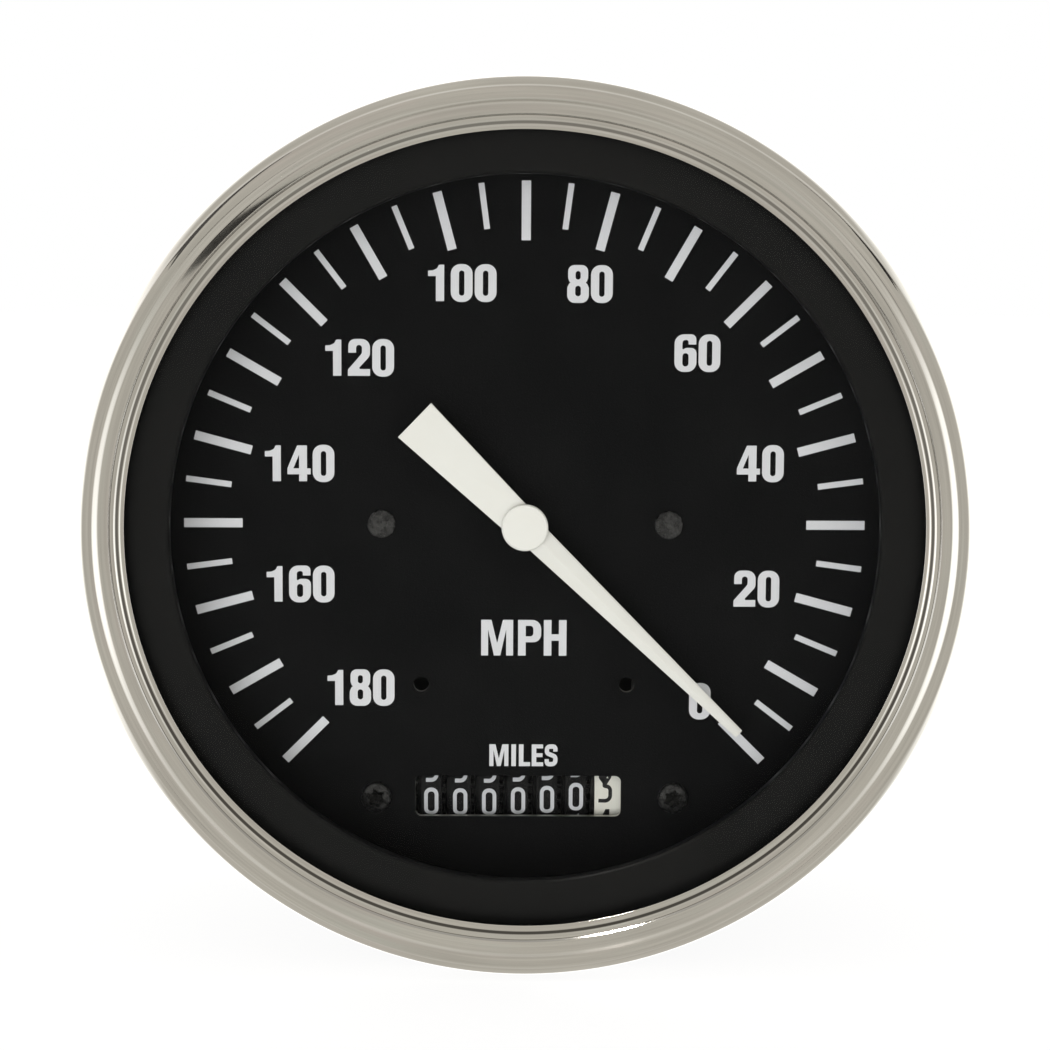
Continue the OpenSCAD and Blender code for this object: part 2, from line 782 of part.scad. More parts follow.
// Parts soldered to the back of the board: a controller, a driver, a regulator and capacitors
module board_parts() {
    chip_w = 9;
    driver_w = 5;
    chip_h = 1.8;
    regulator_w = 8;
    regulator_d = 4;
    regulator_h = 3;
    can_r = 2.8;
    can_h = 7;
    color("#303030") facing() translate([0, 0, board_back_z]) {
        translate([-board_w / 4, 0, -chip_h]) linear_extrude(chip_h) square(chip_w, center = true);
        translate([board_w / 4, -regulator_d, -chip_h]) linear_extrude(chip_h)
            square([driver_w, chip_w], center = true);
        translate([board_w / 5, regulator_d, -regulator_h]) linear_extrude(regulator_h)
            square([regulator_w, regulator_d], center = true);
        translate([board_w / 2 - 2.5 * can_r, regulator_d, -can_h]) cylinder(r = can_r, h = can_h);
        translate([2.5 * can_r - board_w / 2, 2 * regulator_d, -can_h]) cylinder(r = can_r, h = can_h);
    }
}

module board_screws() {
    color("silver") facing() at_posts() {
        rod(board_screw_r, board_back_z, board_z + board_screw_depth - 0.5);
        rod(board_head_r, board_back_z - board_head_t, board_back_z);
    }
}

// Block on the board that brings the terminals out through the back of the case
module terminal_block() {
    color("#262626") facing() difference() {
        translate([0, terminal_up, block_back_z]) linear_extrude(board_back_z - block_back_z)
            square([block_w, block_h], center = true);
        at_blades() blade_plate(terminal_w, block_back_z - 1, board_back_z + 1);
    }
}

// Puts the children at each terminal blade
module at_blades() {
    for (i = [0:blade_count - 1]) {
        translate([(i - (blade_count - 1) / 2) * blade_pitch, terminal_up, 0]) children();
    }
}

// One upright metal strip
module blade_plate(w, from, to) {
    translate([-terminal_t / 2, -w / 2, from]) cube([terminal_t, w, to - from]);
}

// Flat push-on blades, with narrowed ends and a locking hole
module terminal_blades() {
    tip_z = block_back_z - blade_reach;
    color("goldenrod") facing() at_blades() difference() {
        union() {
            blade_plate(terminal_w, tip_z + blade_taper_len, board_back_z);
            blade_plate(terminal_w - 2 * blade_taper_w, tip_z, tip_z + blade_taper_len);
        }
        translate([0, 0, tip_z + blade_hole_in]) rotate([0, 90, 0])
            cylinder(d = blade_hole_d, h = 2 * terminal_t, center = true);
    }
}

// Small push switch on the back of the board, with the bore that the button works in
module push_switch() {
    color("#2e2e30") facing() translate([0, -button_down, 0]) difference() {
        translate([0, 0, switch_top_z]) linear_extrude(switch_h) rounded_rect(switch_w, switch_w, 0.8);
        rod(button_r + shaft_clear, switch_top_z - 1, button_foot_z + button_travel + 0.2);
    }
}

// Button that sets the meter, pressed towards the dial from behind the case
module setting_button() {
    color("#b02020") facing() translate([0, -button_down, 0])
        rod(button_r, case_back_z - button_reach, button_foot_z);
}

// Flanged sleeve that guides the button through the case
module button_grommet() {
    color("#202020") facing() translate([0, -button_down, 0]) difference() {
        union() {
            rod(grommet_r, case_back_z, case_floor_z + 1);
            rod(grommet_flange_r, case_back_z - 1, case_back_z);
        }
        rod(button_r + shaft_clear, case_back_z - 2, case_floor_z + 2);
    }
}

// The folded strip of the counter frame, seen from twelve o'clock
module frame_strip() {
    inside_w = right_plate_x - left_plate_x;
    depth = dial_back_z - frame_back_z + frame_metal;
    middle = (right_plate_x + left_plate_x) / 2;
    difference() {
        translate([middle, dial_back_z]) rounded_rect(inside_w + 2 * frame_metal, 2 * depth, frame_bend_r);
        translate([left_plate_x, frame_back_z]) square([inside_w, 2 * depth]);
        translate([-2 * tab_end, dial_back_z]) square([4 * tab_end, 2 * depth]);
    }
    translate([-tab_end, dial_back_z - frame_metal]) square([tab_end + left_plate_x, frame_metal]);
    translate([right_plate_x, dial_back_z - frame_metal]) square([tab_end - right_plate_x, frame_metal]);
}

// Folded sheet-metal frame: screw tabs on the dial, two side plates and the web behind the wheels
module counter_frame() {
    color("#9a9ca0") facing() difference() {
        union() {
            translate([0, frame_low_y + frame_h, 0]) rotate([90, 0, 0]) linear_extrude(frame_h) frame_strip();
            on_axle(right_plate_x, motor_y, motor_z) linear_extrude(frame_metal) {
                circle(r = motor_d / 2);
                translate([-motor_d / 2, counter_y - motor_y]) square([motor_d, motor_y - counter_y]);
            }
        }
        both_sides(counter_screw_x, counter_y)
            rod(counter_shank_r + screw_clear, dial_back_z - frame_metal - 1, dial_back_z + 1);
        on_axle(left_plate_x - shaft_end, counter_y, wheel_z)
            cylinder(d = wheel_shaft_d, h = right_plate_x - left_plate_x + 2 * shaft_end);
        on_axle(left_plate_x - shaft_end, counter_y, pinion_z)
            cylinder(d = pinion_shaft_d, h = right_plate_x - left_plate_x + 2 * shaft_end);
        on_axle(right_plate_x - 1, motor_y, motor_z) cylinder(r = motor_shaft_r + 0.6, h = frame_metal + 2);
        at_motor_screws(right_plate_x - 1) cylinder(r = motor_screw_r + screw_clear, h = frame_metal + 2);
    }
}

module wheel_shaft() {
    color("silver") facing() on_axle(left_plate_x - shaft_end, counter_y, wheel_z)
        cylinder(d = wheel_shaft_d, h = right_plate_x - left_plate_x + 2 * shaft_end);
}

module pinion_shaft() {
    color("silver") facing() on_axle(left_plate_x - shaft_end, counter_y, pinion_z)
        cylinder(d = pinion_shaft_d, h = right_plate_x - left_plate_x + 2 * shaft_end);
}

// An open retaining ring, flat
module clip_shape(shaft_r) {
    difference() {
        circle(r = shaft_r + clip_w);
        circle(r = shaft_r);
        translate([0, -shaft_r * 0.7]) square([shaft_r + 2 * clip_w, shaft_r * 1.4]);
    }
}

// Retaining rings on the ends of both shafts, outside the side plates
module shaft_clips() {
    color("#5a5a5e") facing() for (x = [left_plate_x - frame_metal - clip_t, right_plate_x + frame_metal]) {
        on_axle(x, counter_y, wheel_z) linear_extrude(clip_t) rotate(90) clip_shape(wheel_shaft_d / 2);
        on_axle(x, counter_y, pinion_z) linear_extrude(clip_t) rotate(-90) clip_shape(pinion_shaft_d / 2);
    }
}

// Disc with the two teeth that carry to the next wheel, flat, its teeth about the given angle
module carry_shape(angle) {
    circle(r = driver_disc_r);
    rotate(angle) intersection() {
        rotate(180 / wheel_teeth) gear_shape(wheel_teeth, tooth_module);
        polygon([
            [0, 0], [2 * wheel_r, -2 * wheel_r * tan(360 / wheel_teeth)],
            [2 * wheel_r, 2 * wheel_r * tan(360 / wheel_teeth)]
        ]);
    }
}

function wheel_x(k) = counter_x + ((wheel_count + 1) / 2 - k) * wheel_pitch;

// Number wheel k, counted from the tenths wheel on the right: a rim for the digits, a driven gear
// on its right and the carrying teeth on its left
module number_wheel(k) {
    rim_x = wheel_x(k) - rim_w / 2;
    width = k == 1 ? tenths_rim_w : rim_w;
    angle = carry_angle - (k == 1 ? 360 * tenths_shown : 0);
    color(k == 1 ? "white" : "#242424") facing() difference() {
        union() {
            on_axle(rim_x, counter_y, wheel_z) cylinder(r = wheel_r, h = width);
            on_axle(rim_x + width, counter_y, wheel_z) linear_extrude(tooth_w)
                rotate(180 / wheel_teeth) gear_shape(wheel_teeth, tooth_module);
            on_axle(rim_x - tooth_w, counter_y, wheel_z) linear_extrude(tooth_w) carry_shape(angle);
        }
        on_axle(rim_x - 2, counter_y, wheel_z) cylinder(r = wheel_bore_r, h = width + 4);
    }
}

// Transfer pinion between wheel k and the next wheel on its left: eight teeth on the driven side,
// every second one long enough to reach the carrying teeth, and a sleeve that spaces the pinions
module transfer_pinion(k) {
    left_x = wheel_x(k + 1) + rim_w / 2 + side_clear;
    sleeve_len = k == wheel_count - 1 ? pinion_w : wheel_pitch - side_clear;
    color("ivory") facing() difference() {
        union() {
            on_axle(left_x, counter_y, pinion_z) linear_extrude(tooth_w)
                gear_shape(pinion_teeth, tooth_module);
            on_axle(left_x, counter_y, pinion_z) linear_extrude(pinion_w) {
                circle(r = tooth_module * (pinion_teeth / 2 - 1));
                intersection() {
                    gear_shape(pinion_teeth, tooth_module);
                    union() {
                        square([2 * wheel_r, tooth_module * 1.6], center = true);
                        square([tooth_module * 1.6, 2 * wheel_r], center = true);
                    }
                }
            }
            on_axle(left_x + pinion_w - sleeve_len, counter_y, pinion_z)
                cylinder(d = pinion_sleeve_d, h = sleeve_len);
        }
        on_axle(left_x - wheel_pitch - 1, counter_y, pinion_z)
            cylinder(r = pinion_bore_r, h = 3 * wheel_pitch);
    }
}

// Double gear on the pinion shaft: eight teeth drive the tenths wheel, thirty are driven by the motor
module drive_gear() {
    color("ivory") facing() difference() {
        union() {
            on_axle(drive_x, counter_y, pinion_z) linear_extrude(drive_gear_x - drive_x)
                gear_shape(pinion_teeth, tooth_module);
            on_axle(drive_gear_x, counter_y, pinion_z) linear_extrude(drive_gear_w)
                rotate(motor_direction) gear_shape(drive_teeth, drive_module, 0.1);
        }
        on_axle(drive_x - 1, counter_y, pinion_z) cylinder(r = pinion_bore_r, h = 6);
    }
}

// Puts the children at each screw through the motor's ears
module at_motor_screws(x) {
    for (turn = [0, 180]) {
        on_axle(x, motor_y, motor_z) rotate(turn) translate([motor_ear_r, 0]) children();
    }
}

// Small stepper motor on the outside of the right side plate, with two ears
module counter_motor() {
    motor_x = right_plate_x + frame_metal;
    color("#8c9094") facing() difference() {
        union() {
            on_axle(motor_x, motor_y, motor_z) cylinder(r = motor_d / 2, h = motor_len);
            on_axle(motor_x, motor_y, motor_z) linear_extrude(motor_ear_t)
                square([2 * motor_ear_r, motor_ear_w], center = true);
            at_motor_screws(motor_x) cylinder(d = motor_ear_w, h = motor_ear_t);
        }
        on_axle(motor_x - 1, motor_y, motor_z)
            cylinder(r = motor_shaft_r + spindle_clear, h = motor_shaft_depth + 1.3);
        at_motor_screws(motor_x - 1) cylinder(r = motor_screw_r + screw_clear, h = motor_ear_t + 2);
    }
}

module motor_screws() {
    color("silver") facing() {
        at_motor_screws(right_plate_x - 0.3) cylinder(r = motor_screw_r, h = frame_metal + motor_ear_t + 0.3);
        at_motor_screws(right_plate_x + frame_metal + motor_ear_t)
            cylinder(r = motor_head_r, h = motor_head_t);
    }
}

module motor_shaft() {
    color("silver") facing() on_axle(drive_gear_x - 0.2, motor_y, motor_z)
        cylinder(r = motor_shaft_r, h = right_plate_x + frame_metal + motor_shaft_depth - drive_gear_x + 0.2);
}

module motor_pinion() {
    color("goldenrod") facing() on_axle(drive_gear_x, motor_y, motor_z) linear_extrude(drive_gear_w)
        difference() {
            rotate(motor_direction + 180 + 180 / motor_teeth) gear_shape(motor_teeth, drive_module, 0.1);
            circle(r = motor_shaft_r);
        }
}

// Two twist-in sockets in the back of the case
module lamp_sockets() {
    color("#303234") facing() both_sides(lamp_x, lamp_up) difference() {
        union() {
            rod(lamp_neck_r, case_back_z, lamp_neck_z);
            rod(lamp_flange_r, case_back_z - lamp_flange_t, case_back_z);
            rod(lamp_neck_r - lamp_grip_t / 2, case_back_z - lamp_grip_len, case_back_z - lamp_flange_t);
            translate([-lamp_neck_r, -lamp_grip_t / 2, case_back_z - lamp_grip_len])
                cube([2 * lamp_neck_r, lamp_grip_t, lamp_grip_len - lamp_flange_t / 2]);
        }
        rod(bulb_d / 2 - 0.6, lamp_neck_z - 5, lamp_neck_z + 1);
    }
}

// Wedge-base bulbs: a straight glass tube with a round end and a narrower foot in the socket
module lamp_bulbs() {
    bulb_r = bulb_d / 2;
    color("lightyellow", 0.6) facing() both_sides(lamp_x, lamp_up) {
        rod(bulb_r - 0.8, lamp_neck_z - 4.5, lamp_neck_z);
        rod(bulb_r, lamp_neck_z, lamp_neck_z + bulb_len - bulb_r);
        translate([0, 0, lamp_neck_z + bulb_len - bulb_r]) sphere(r = bulb_r);
    }
}

// Threaded studs through the back of the case, with their heads inside
module mounting_studs() {
    color("silver") facing() both_sides(stud_x) {
        rod(stud_r + stud_head_w, case_floor_z, case_floor_z + stud_head_t);
        rod(stud_r, case_back_z - stud_len, case_floor_z);
        rod(stud_r + stud_collar_w, case_back_z - stud_collar_t, case_back_z);
    }
}

// The bracket's bent strip, seen from twelve o'clock
module bracket_strip() {
    leg_len = -bracket_z;
    outer_r = bracket_t + bracket_bend_r;
    difference() {
        rounded_rect(2 * (leg_x + bracket_t), 2 * (leg_len + bracket_t), outer_r);
        rounded_rect(2 * leg_x, 2 * leg_len, bracket_bend_r);
        translate([-2 * leg_x, -panel_t]) square([4 * leg_x, 4 * leg_len]);
    }
}

// U-shaped clamp: its cross strip hangs on the studs and its legs press on the back of the panel
module bracket() {
    color("#a8aaae") facing() difference() {
        translate([0, bracket_w / 2, 0]) rotate([90, 0, 0]) linear_extrude(bracket_w) bracket_strip();
        both_sides(stud_x) rod(stud_r + stud_clear, bracket_back_z - 1, bracket_z + 1);
    }
}

module bracket_washers() {
    color("silver") facing() both_sides(stud_x)
        tube(washer_r, stud_r + stud_clear, bracket_back_z - washer_t, bracket_back_z);
}

module bracket_nuts() {
    nut_z = bracket_back_z - washer_t;
    color("silver") facing() both_sides(stud_x) difference() {
        translate([0, 0, nut_z - nut_t]) cylinder(r = stud_r * 2, h = nut_t, $fn = 6);
        rod(stud_r + thread_clear, nut_z - nut_t - 1, nut_z + 1);
    }
}

bezel();
lens();
lens_gasket();
dial_ring();
case();
dial_plate();
movement_screws();
counter_screws();
pointer();
pointer_cap();
pointer_spindle();
magnet_rotor();
front_bush();
rear_bush();
movement_carrier();
bobbin_front();
bobbin_rear();
coil_inner();
coil_outer();
shield_can();
circuit_board();
board_parts();
board_screws();
terminal_block();
terminal_blades();
push_switch();
setting_button();
button_grommet();
counter_frame();
wheel_shaft();
pinion_shaft();
shaft_clips();
number_wheel(1);  // number_wheel_1
number_wheel(2);  // number_wheel_2
number_wheel(3);  // number_wheel_3
number_wheel(4);  // number_wheel_4
number_wheel(5);  // number_wheel_5
number_wheel(6);  // number_wheel_6
number_wheel(7);  // number_wheel_7
transfer_pinion(1);  // transfer_pinion_1
transfer_pinion(2);  // transfer_pinion_2
transfer_pinion(3);  // transfer_pinion_3
transfer_pinion(4);  // transfer_pinion_4
transfer_pinion(5);  // transfer_pinion_5
transfer_pinion(6);  // transfer_pinion_6
drive_gear();
counter_motor();
motor_screws();
motor_shaft();
motor_pinion();
lamp_sockets();
lamp_bulbs();
mounting_studs();
bracket();
bracket_washers();
bracket_nuts();
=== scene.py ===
"""Looks of the panel speedometer: fine pieces, printing, finishes, studio and camera round its CAD frame."""
import logging
import math
from collections.abc import Callable
from dataclasses import dataclass
from enum import Enum

import bmesh
import bpy
from mathutils import Matrix, Vector, geometry


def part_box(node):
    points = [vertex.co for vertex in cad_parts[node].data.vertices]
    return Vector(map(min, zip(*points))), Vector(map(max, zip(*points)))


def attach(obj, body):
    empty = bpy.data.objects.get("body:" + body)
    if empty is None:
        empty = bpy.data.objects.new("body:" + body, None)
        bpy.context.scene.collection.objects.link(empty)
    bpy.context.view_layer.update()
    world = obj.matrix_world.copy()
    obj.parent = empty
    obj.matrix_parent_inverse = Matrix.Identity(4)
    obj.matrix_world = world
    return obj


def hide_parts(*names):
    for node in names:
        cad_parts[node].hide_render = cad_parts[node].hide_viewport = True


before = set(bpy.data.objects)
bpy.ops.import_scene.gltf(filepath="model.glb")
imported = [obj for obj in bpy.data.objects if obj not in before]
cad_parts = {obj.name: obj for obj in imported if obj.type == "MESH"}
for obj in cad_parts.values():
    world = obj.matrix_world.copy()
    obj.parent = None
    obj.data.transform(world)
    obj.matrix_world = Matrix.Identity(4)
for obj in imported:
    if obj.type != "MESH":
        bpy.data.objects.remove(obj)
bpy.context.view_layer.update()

LOG = logging.getLogger("speedometer")
MM = 0.001
MERGE = 1e-7
CAD_MERGE = 1e-6
FLAT = math.radians(0.4)
STRAIGHT = math.radians(89)
LEAST_MITRE = 0.35
LEAST_ROUGHNESS = 0.02
EASED_SHADE = 32
Point = tuple[float, float]
Corner = tuple[float, float, float]
Colour = tuple[float, float, float]
Socket = bpy.types.NodeSocket
Piece = bpy.types.Object
Material = bpy.types.Material


# ---------------------------------------------------------------- outlines


def arc(centre: Point, across: float, up: float, start: float, end: float, count: int) -> list[Point]:
    """Points on an arc of an ellipse.

    Args:
        centre: middle of the ellipse.
        across: half its width.
        up: half its height.
        start: first angle in degrees.
        end: last angle in degrees.
        count: number of steps.

    Returns:
        The points, both ends included.
    """
    turns = [math.radians(start + (end - start) * i / count) for i in range(count + 1)]
    return [(centre[0] + across * math.cos(t), centre[1] + up * math.sin(t)) for t in turns]


def box(left: float, low: float, right: float, high: float, radius: float) -> list[Corner]:
    """Corners of a rectangle that is rolled over at one radius."""
    return [(left, low, radius), (right, low, radius), (right, high, radius), (left, high, radius)]


def roll_corner(before: Point, here: Point, after: Point, radius: float, steps: int) -> list[Point]:
    """Rounds one corner of an outline.

    Args:
        before: the point before the corner.
        here: the corner.
        after: the point after it.
        radius: how far it is rolled over.
        steps: number of steps in the round.

    Returns:
        The points that take the corner's place.
    """
    corner = Vector(here)
    back, on = Vector(before) - corner, Vector(after) - corner
    half = back.angle(on) / 2
    if radius <= 0 or half > STRAIGHT:
        return [tuple(corner)]
    reach = min(radius / math.tan(half), back.length / 2, on.length / 2)
    first, last = corner + back.normalized() * reach, corner + on.normalized() * reach
    middle = corner + (back.normalized() + on.normalized()).normalized() * reach / math.cos(half)
    start = math.atan2(first.y - middle.y, first.x - middle.x)
    turn = math.atan2(last.y - middle.y, last.x - middle.x) - start
    turn = (turn + math.pi) % (2 * math.pi) - math.pi
    size = (first - middle).length
    angles = [start + turn * i / steps for i in range(steps + 1)]
    return [(middle.x + size * math.cos(a), middle.y + size * math.sin(a)) for a in angles]


def rolled(corners: list[Corner], closed: bool = True, steps: int = 6) -> list[Point]:
    """A line through corners, each rolled over at its own radius.

    Args:
        corners: x, y and radius of each corner.
        closed: whether the last corner joins the first.
        steps: number of steps in each round.

    Returns:
        The points of the line.
    """
    count = len(corners)
    points: list[Point] = []
    for i, (x, y, radius) in enumerate(corners):
        if not closed and i in (0, count - 1):
            points.append((x, y))
            continue
        points += roll_corner(corners[i - 1][:2], (x, y), corners[(i + 1) % count][:2], radius, steps)
    return points


def pen_line(path: list[Corner], width: float, closed: bool) -> list[list[Point]]:
    """The outline of a pen stroke of even width.

    Args:
        path: x, y and radius of each corner of its middle line.
        width: width of the stroke.
        closed: whether the stroke is a ring.

    Returns:
        One outline, or for a ring the outer and the inner one.
    """
    middle = [Vector(p) for p in rolled(path, closed)]
    count = len(middle)
    sides: list[list[Point]] = [[], []]
    for i, here in enumerate(middle):
        back = here - middle[i - 1] if closed or i > 0 else middle[1] - middle[0]
        on = middle[(i + 1) % count] - here if closed or i < count - 1 else back
        mean = (back.normalized() + on.normalized()).normalized()
        push = width / 2 / max(LEAST_MITRE, mean.dot(on.normalized()))
        for side, sign in zip(sides, (1, -1)):
            side.append((here.x - mean.y * push * sign, here.y + mean.x * push * sign))
    return sides if closed else [sides[0] + sides[1][::-1]]


class Draft:
    """Corners and faces in millimetres: x across, y up the dial, h out towards the driver."""

    def __init__(self) -> None:
        """Starts empty."""
        self.corners: list[Corner] = []
        self.faces: list[tuple[int, ...]] = []

    def revolve(self, profile: list[Point], sides: int, swell: Callable[[float, int], float] | None = None) -> None:
        """Turns a closed profile round the axis of the dial.

        Args:
            profile: radius and height of each point.
            sides: number of steps round.
            swell: factor on the radius from the angle and the point's number.
        """
        base, count = len(self.corners), len(profile)
        for s in range(sides):
            angle = 2 * math.pi * s / sides
            for i, (radius, height) in enumerate(profile):
                r = radius * (swell(angle, i) if swell else 1)
                self.corners.append((r * math.cos(angle), r * math.sin(angle), height))
        for s in range(sides):
            here, there = base + s * count, base + (s + 1) % sides * count
            for i in range(count):
                j = (i + 1) % count
                self.faces.append((here + i, there + i, there + j, here + j))

    def prism(self, outlines: list[list[Point]], low: float, high: float) -> None:
        """Raises a flat shape with holes into a closed solid.

        Args:
            outlines: the outer outline, then its holes.
            low: height of its underside.
            high: height of its top.
        """
        base = len(self.corners)
        total = sum(len(line) for line in outlines)
        flat = [[Vector((x, y, 0)) for x, y in line] for line in outlines]
        self.corners += [(p.x, p.y, h) for h in (low, high) for line in flat for p in line]
        for a, b, c in geometry.tessellate_polygon(flat):
            self.faces += [(base + a, base + b, base + c), (base + total + c, base + total + b, base + total + a)]
        start = base
        for line in outlines:
            for i in range(len(line)):
                a, b = start + i, start + (i + 1) % len(line)
                self.faces.append((a, b, b + total, a + total))
            start += len(line)

    def make(self, name: str, soft: float = 35) -> Piece:
        """Makes the object, its doubles merged and its faces turned outwards.

        Args:
            name: the piece's name.
            soft: steepest edge in degrees that is shaded smooth.

        Returns:
            The new object.
        """
        mesh = bpy.data.meshes.new(name)
        mesh.from_pydata([(x * MM, -h * MM, y * MM) for x, y, h in self.corners], [], self.faces)
        shape = bmesh.new()
        shape.from_mesh(mesh)
        bmesh.ops.remove_doubles(shape, verts=shape.verts, dist=MERGE)
        bmesh.ops.recalc_face_normals(shape, faces=shape.faces)
        shape.to_mesh(mesh)
        shape.free()
        return shown(name, mesh, soft)


def linked(name: str, data: bpy.types.ID) -> Piece:
    """Puts a new object into the scene.

    Args:
        name: its name.
        data: its mesh, lamp or camera.

    Returns:
        The object, at the origin.
    """
    made = bpy.data.objects.new(name, data)
    bpy.context.scene.collection.objects.link(made)
    return made


def shown(name: str, mesh: bpy.types.Mesh, soft: float = 35) -> Piece:
    """Links a mesh into the scene as an object, shaded smooth below an angle.

    Args:
        name: the piece's name.
        mesh: its mesh.
        soft: steepest edge in degrees that is shaded smooth.

    Returns:
        The new object.
    """
    mesh.name = name
    mesh.shade_smooth()
    mesh.set_sharp_from_angle(angle=math.radians(soft))
    return linked(name, mesh)


def softened(name: str, node: str, width: float, steps: int = 2, sharp: float = 30) -> Piece:
    """A merged copy of a CAD node whose hard edges are rolled over.

    Args:
        name: the new piece's name.
        node: the CAD node.
        width: width of the roll in millimetres.
        steps: number of faces across the roll.
        sharp: least angle in degrees of an edge that is rolled.

    Returns:
        The new object.
    """
    mesh = bpy.data.meshes.new(name)
    shape = bmesh.new()
    shape.from_mesh(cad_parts[node].data)
    bmesh.ops.remove_doubles(shape, verts=shape.verts, dist=CAD_MERGE)
    bmesh.ops.dissolve_limit(shape, angle_limit=FLAT, verts=shape.verts, edges=shape.edges)
    bmesh.ops.recalc_face_normals(shape, faces=shape.faces)
    hard = [e for e in shape.edges if len(e.link_faces) == 2 and e.calc_face_angle() > math.radians(sharp)]
    bmesh.ops.bevel(shape, geom=hard, offset=width * MM, segments=steps, profile=0.5, affect="EDGES",
                    clamp_overlap=True)
    shape.to_mesh(mesh)
    shape.free()
    for layer in [a for a in mesh.attributes if a.name == "custom_normal"]:
        mesh.attributes.remove(layer)
    return shown(name, mesh, EASED_SHADE)


# ---------------------------------------------------------------- node trees


class Wiring:
    """Adds nodes to a tree and joins them."""

    def __init__(self, tree: bpy.types.NodeTree) -> None:
        """Takes the tree that it works on."""
        self.tree = tree

    def node(self, kind: str, inputs: dict | None = None, **settings: object) -> bpy.types.Node:
        """Adds one node.

        Args:
            kind: the node's type.
            inputs: a value or a socket for each input, by name or number.
            settings: the node's own settings.

        Returns:
            The new node.
        """
        made = self.tree.nodes.new(kind)
        for key, value in settings.items():
            setattr(made, key, value)
        for key, value in (inputs or {}).items():
            if isinstance(value, Socket):
                self.tree.links.new(value, made.inputs[key])
            else:
                made.inputs[key].default_value = value
        return made

    def give(self, kind: str, inputs: dict | None = None, **settings: object) -> Socket:
        """The first output of a new node, which takes what node takes."""
        return self.node(kind, inputs, **settings).outputs[0]

    def math(self, operation: str, *values: float | Socket) -> Socket:
        """The result of a Math node of that operation on those values."""
        return self.give("ShaderNodeMath", dict(enumerate(values)), operation=operation)

    def times(self, first: float | Socket, second: float | Socket) -> Socket:
        """The product of two values."""
        return self.math("MULTIPLY", first, second)

    def plus(self, first: float | Socket, second: float | Socket) -> Socket:
        """The total of two values."""
        return self.math("ADD", first, second)

    def minus(self, first: float | Socket, second: float | Socket) -> Socket:
        """The first value less the second."""
        return self.math("SUBTRACT", first, second)

    def reach(self, first: Socket, second: Socket) -> Socket:
        """The distance over two values that stand at right angles."""
        return self.math("SQRT", self.plus(self.times(first, first), self.times(second, second)))

    def apart(self, vector: Socket) -> list[Socket]:
        """The x, y and z of a vector."""
        return list(self.node("ShaderNodeSeparateXYZ", {0: vector}).outputs)

    def together(self, *parts: float | Socket) -> Socket:
        """A vector from its x, y and z."""
        return self.give("ShaderNodeCombineXYZ", dict(enumerate(parts)))

    def span(self, value: Socket, low: float, high: float, new_low: float, new_high: float) -> Socket:
        """Takes a value from one range to another, held inside it."""
        return self.give("ShaderNodeMapRange", {0: value, 1: low, 2: high, 3: new_low, 4: new_high})

    def blend(self, factor: float | Socket, first: Colour | Socket, second: Colour | Socket) -> Socket:
        """Mixes two colours."""
        tints = {k: (*v, 1) if isinstance(v, tuple) else v for k, v in ((6, first), (7, second))}
        return self.node("ShaderNodeMix", {0: factor, **tints}, data_type="RGBA").outputs[2]

    def group(self, tree: bpy.types.NodeTree, **inputs: object) -> bpy.types.Node:
        """Places a node group, with its inputs by name."""
        return self.node(self.tree.bl_idname.replace("Tree", "Group"), inputs, node_tree=tree)


def emptied(made: Material | bpy.types.World) -> Wiring:
    """Clears a new material or world of its first nodes.

    Args:
        made: the material or world.

    Returns:
        The wiring of its tree.
    """
    made.use_nodes = True
    made.node_tree.nodes.clear()
    return Wiring(made.node_tree)


def new_material(name: str) -> tuple[Material, Wiring]:
    """A new empty material and the wiring of its tree."""
    made = bpy.data.materials.new(name)
    return made, emptied(made)


class Kind(Enum):
    """Types of a tree's sockets."""

    NUMBER = "NodeSocketFloat"
    COUNT = "NodeSocketInt"
    VECTOR = "NodeSocketVector"
    SHAPE = "NodeSocketGeometry"
    FINISH = "NodeSocketMaterial"


def new_tree(name: str, kind: str, inputs: dict[str, Kind], outputs: dict[str, Kind]) -> Wiring:
    """Starts a node tree with named inputs and outputs.

    Args:
        name: the tree's name.
        kind: GeometryNodeTree or ShaderNodeTree.
        inputs: the type of each input.
        outputs: the type of each output.

    Returns:
        The tree's wiring.
    """
    tree = bpy.data.node_groups.new(name, kind)
    for way, sockets in (("INPUT", inputs), ("OUTPUT", outputs)):
        for label, socket in sockets.items():
            tree.interface.new_socket(label, in_out=way, socket_type=socket.value)
    return Wiring(tree)


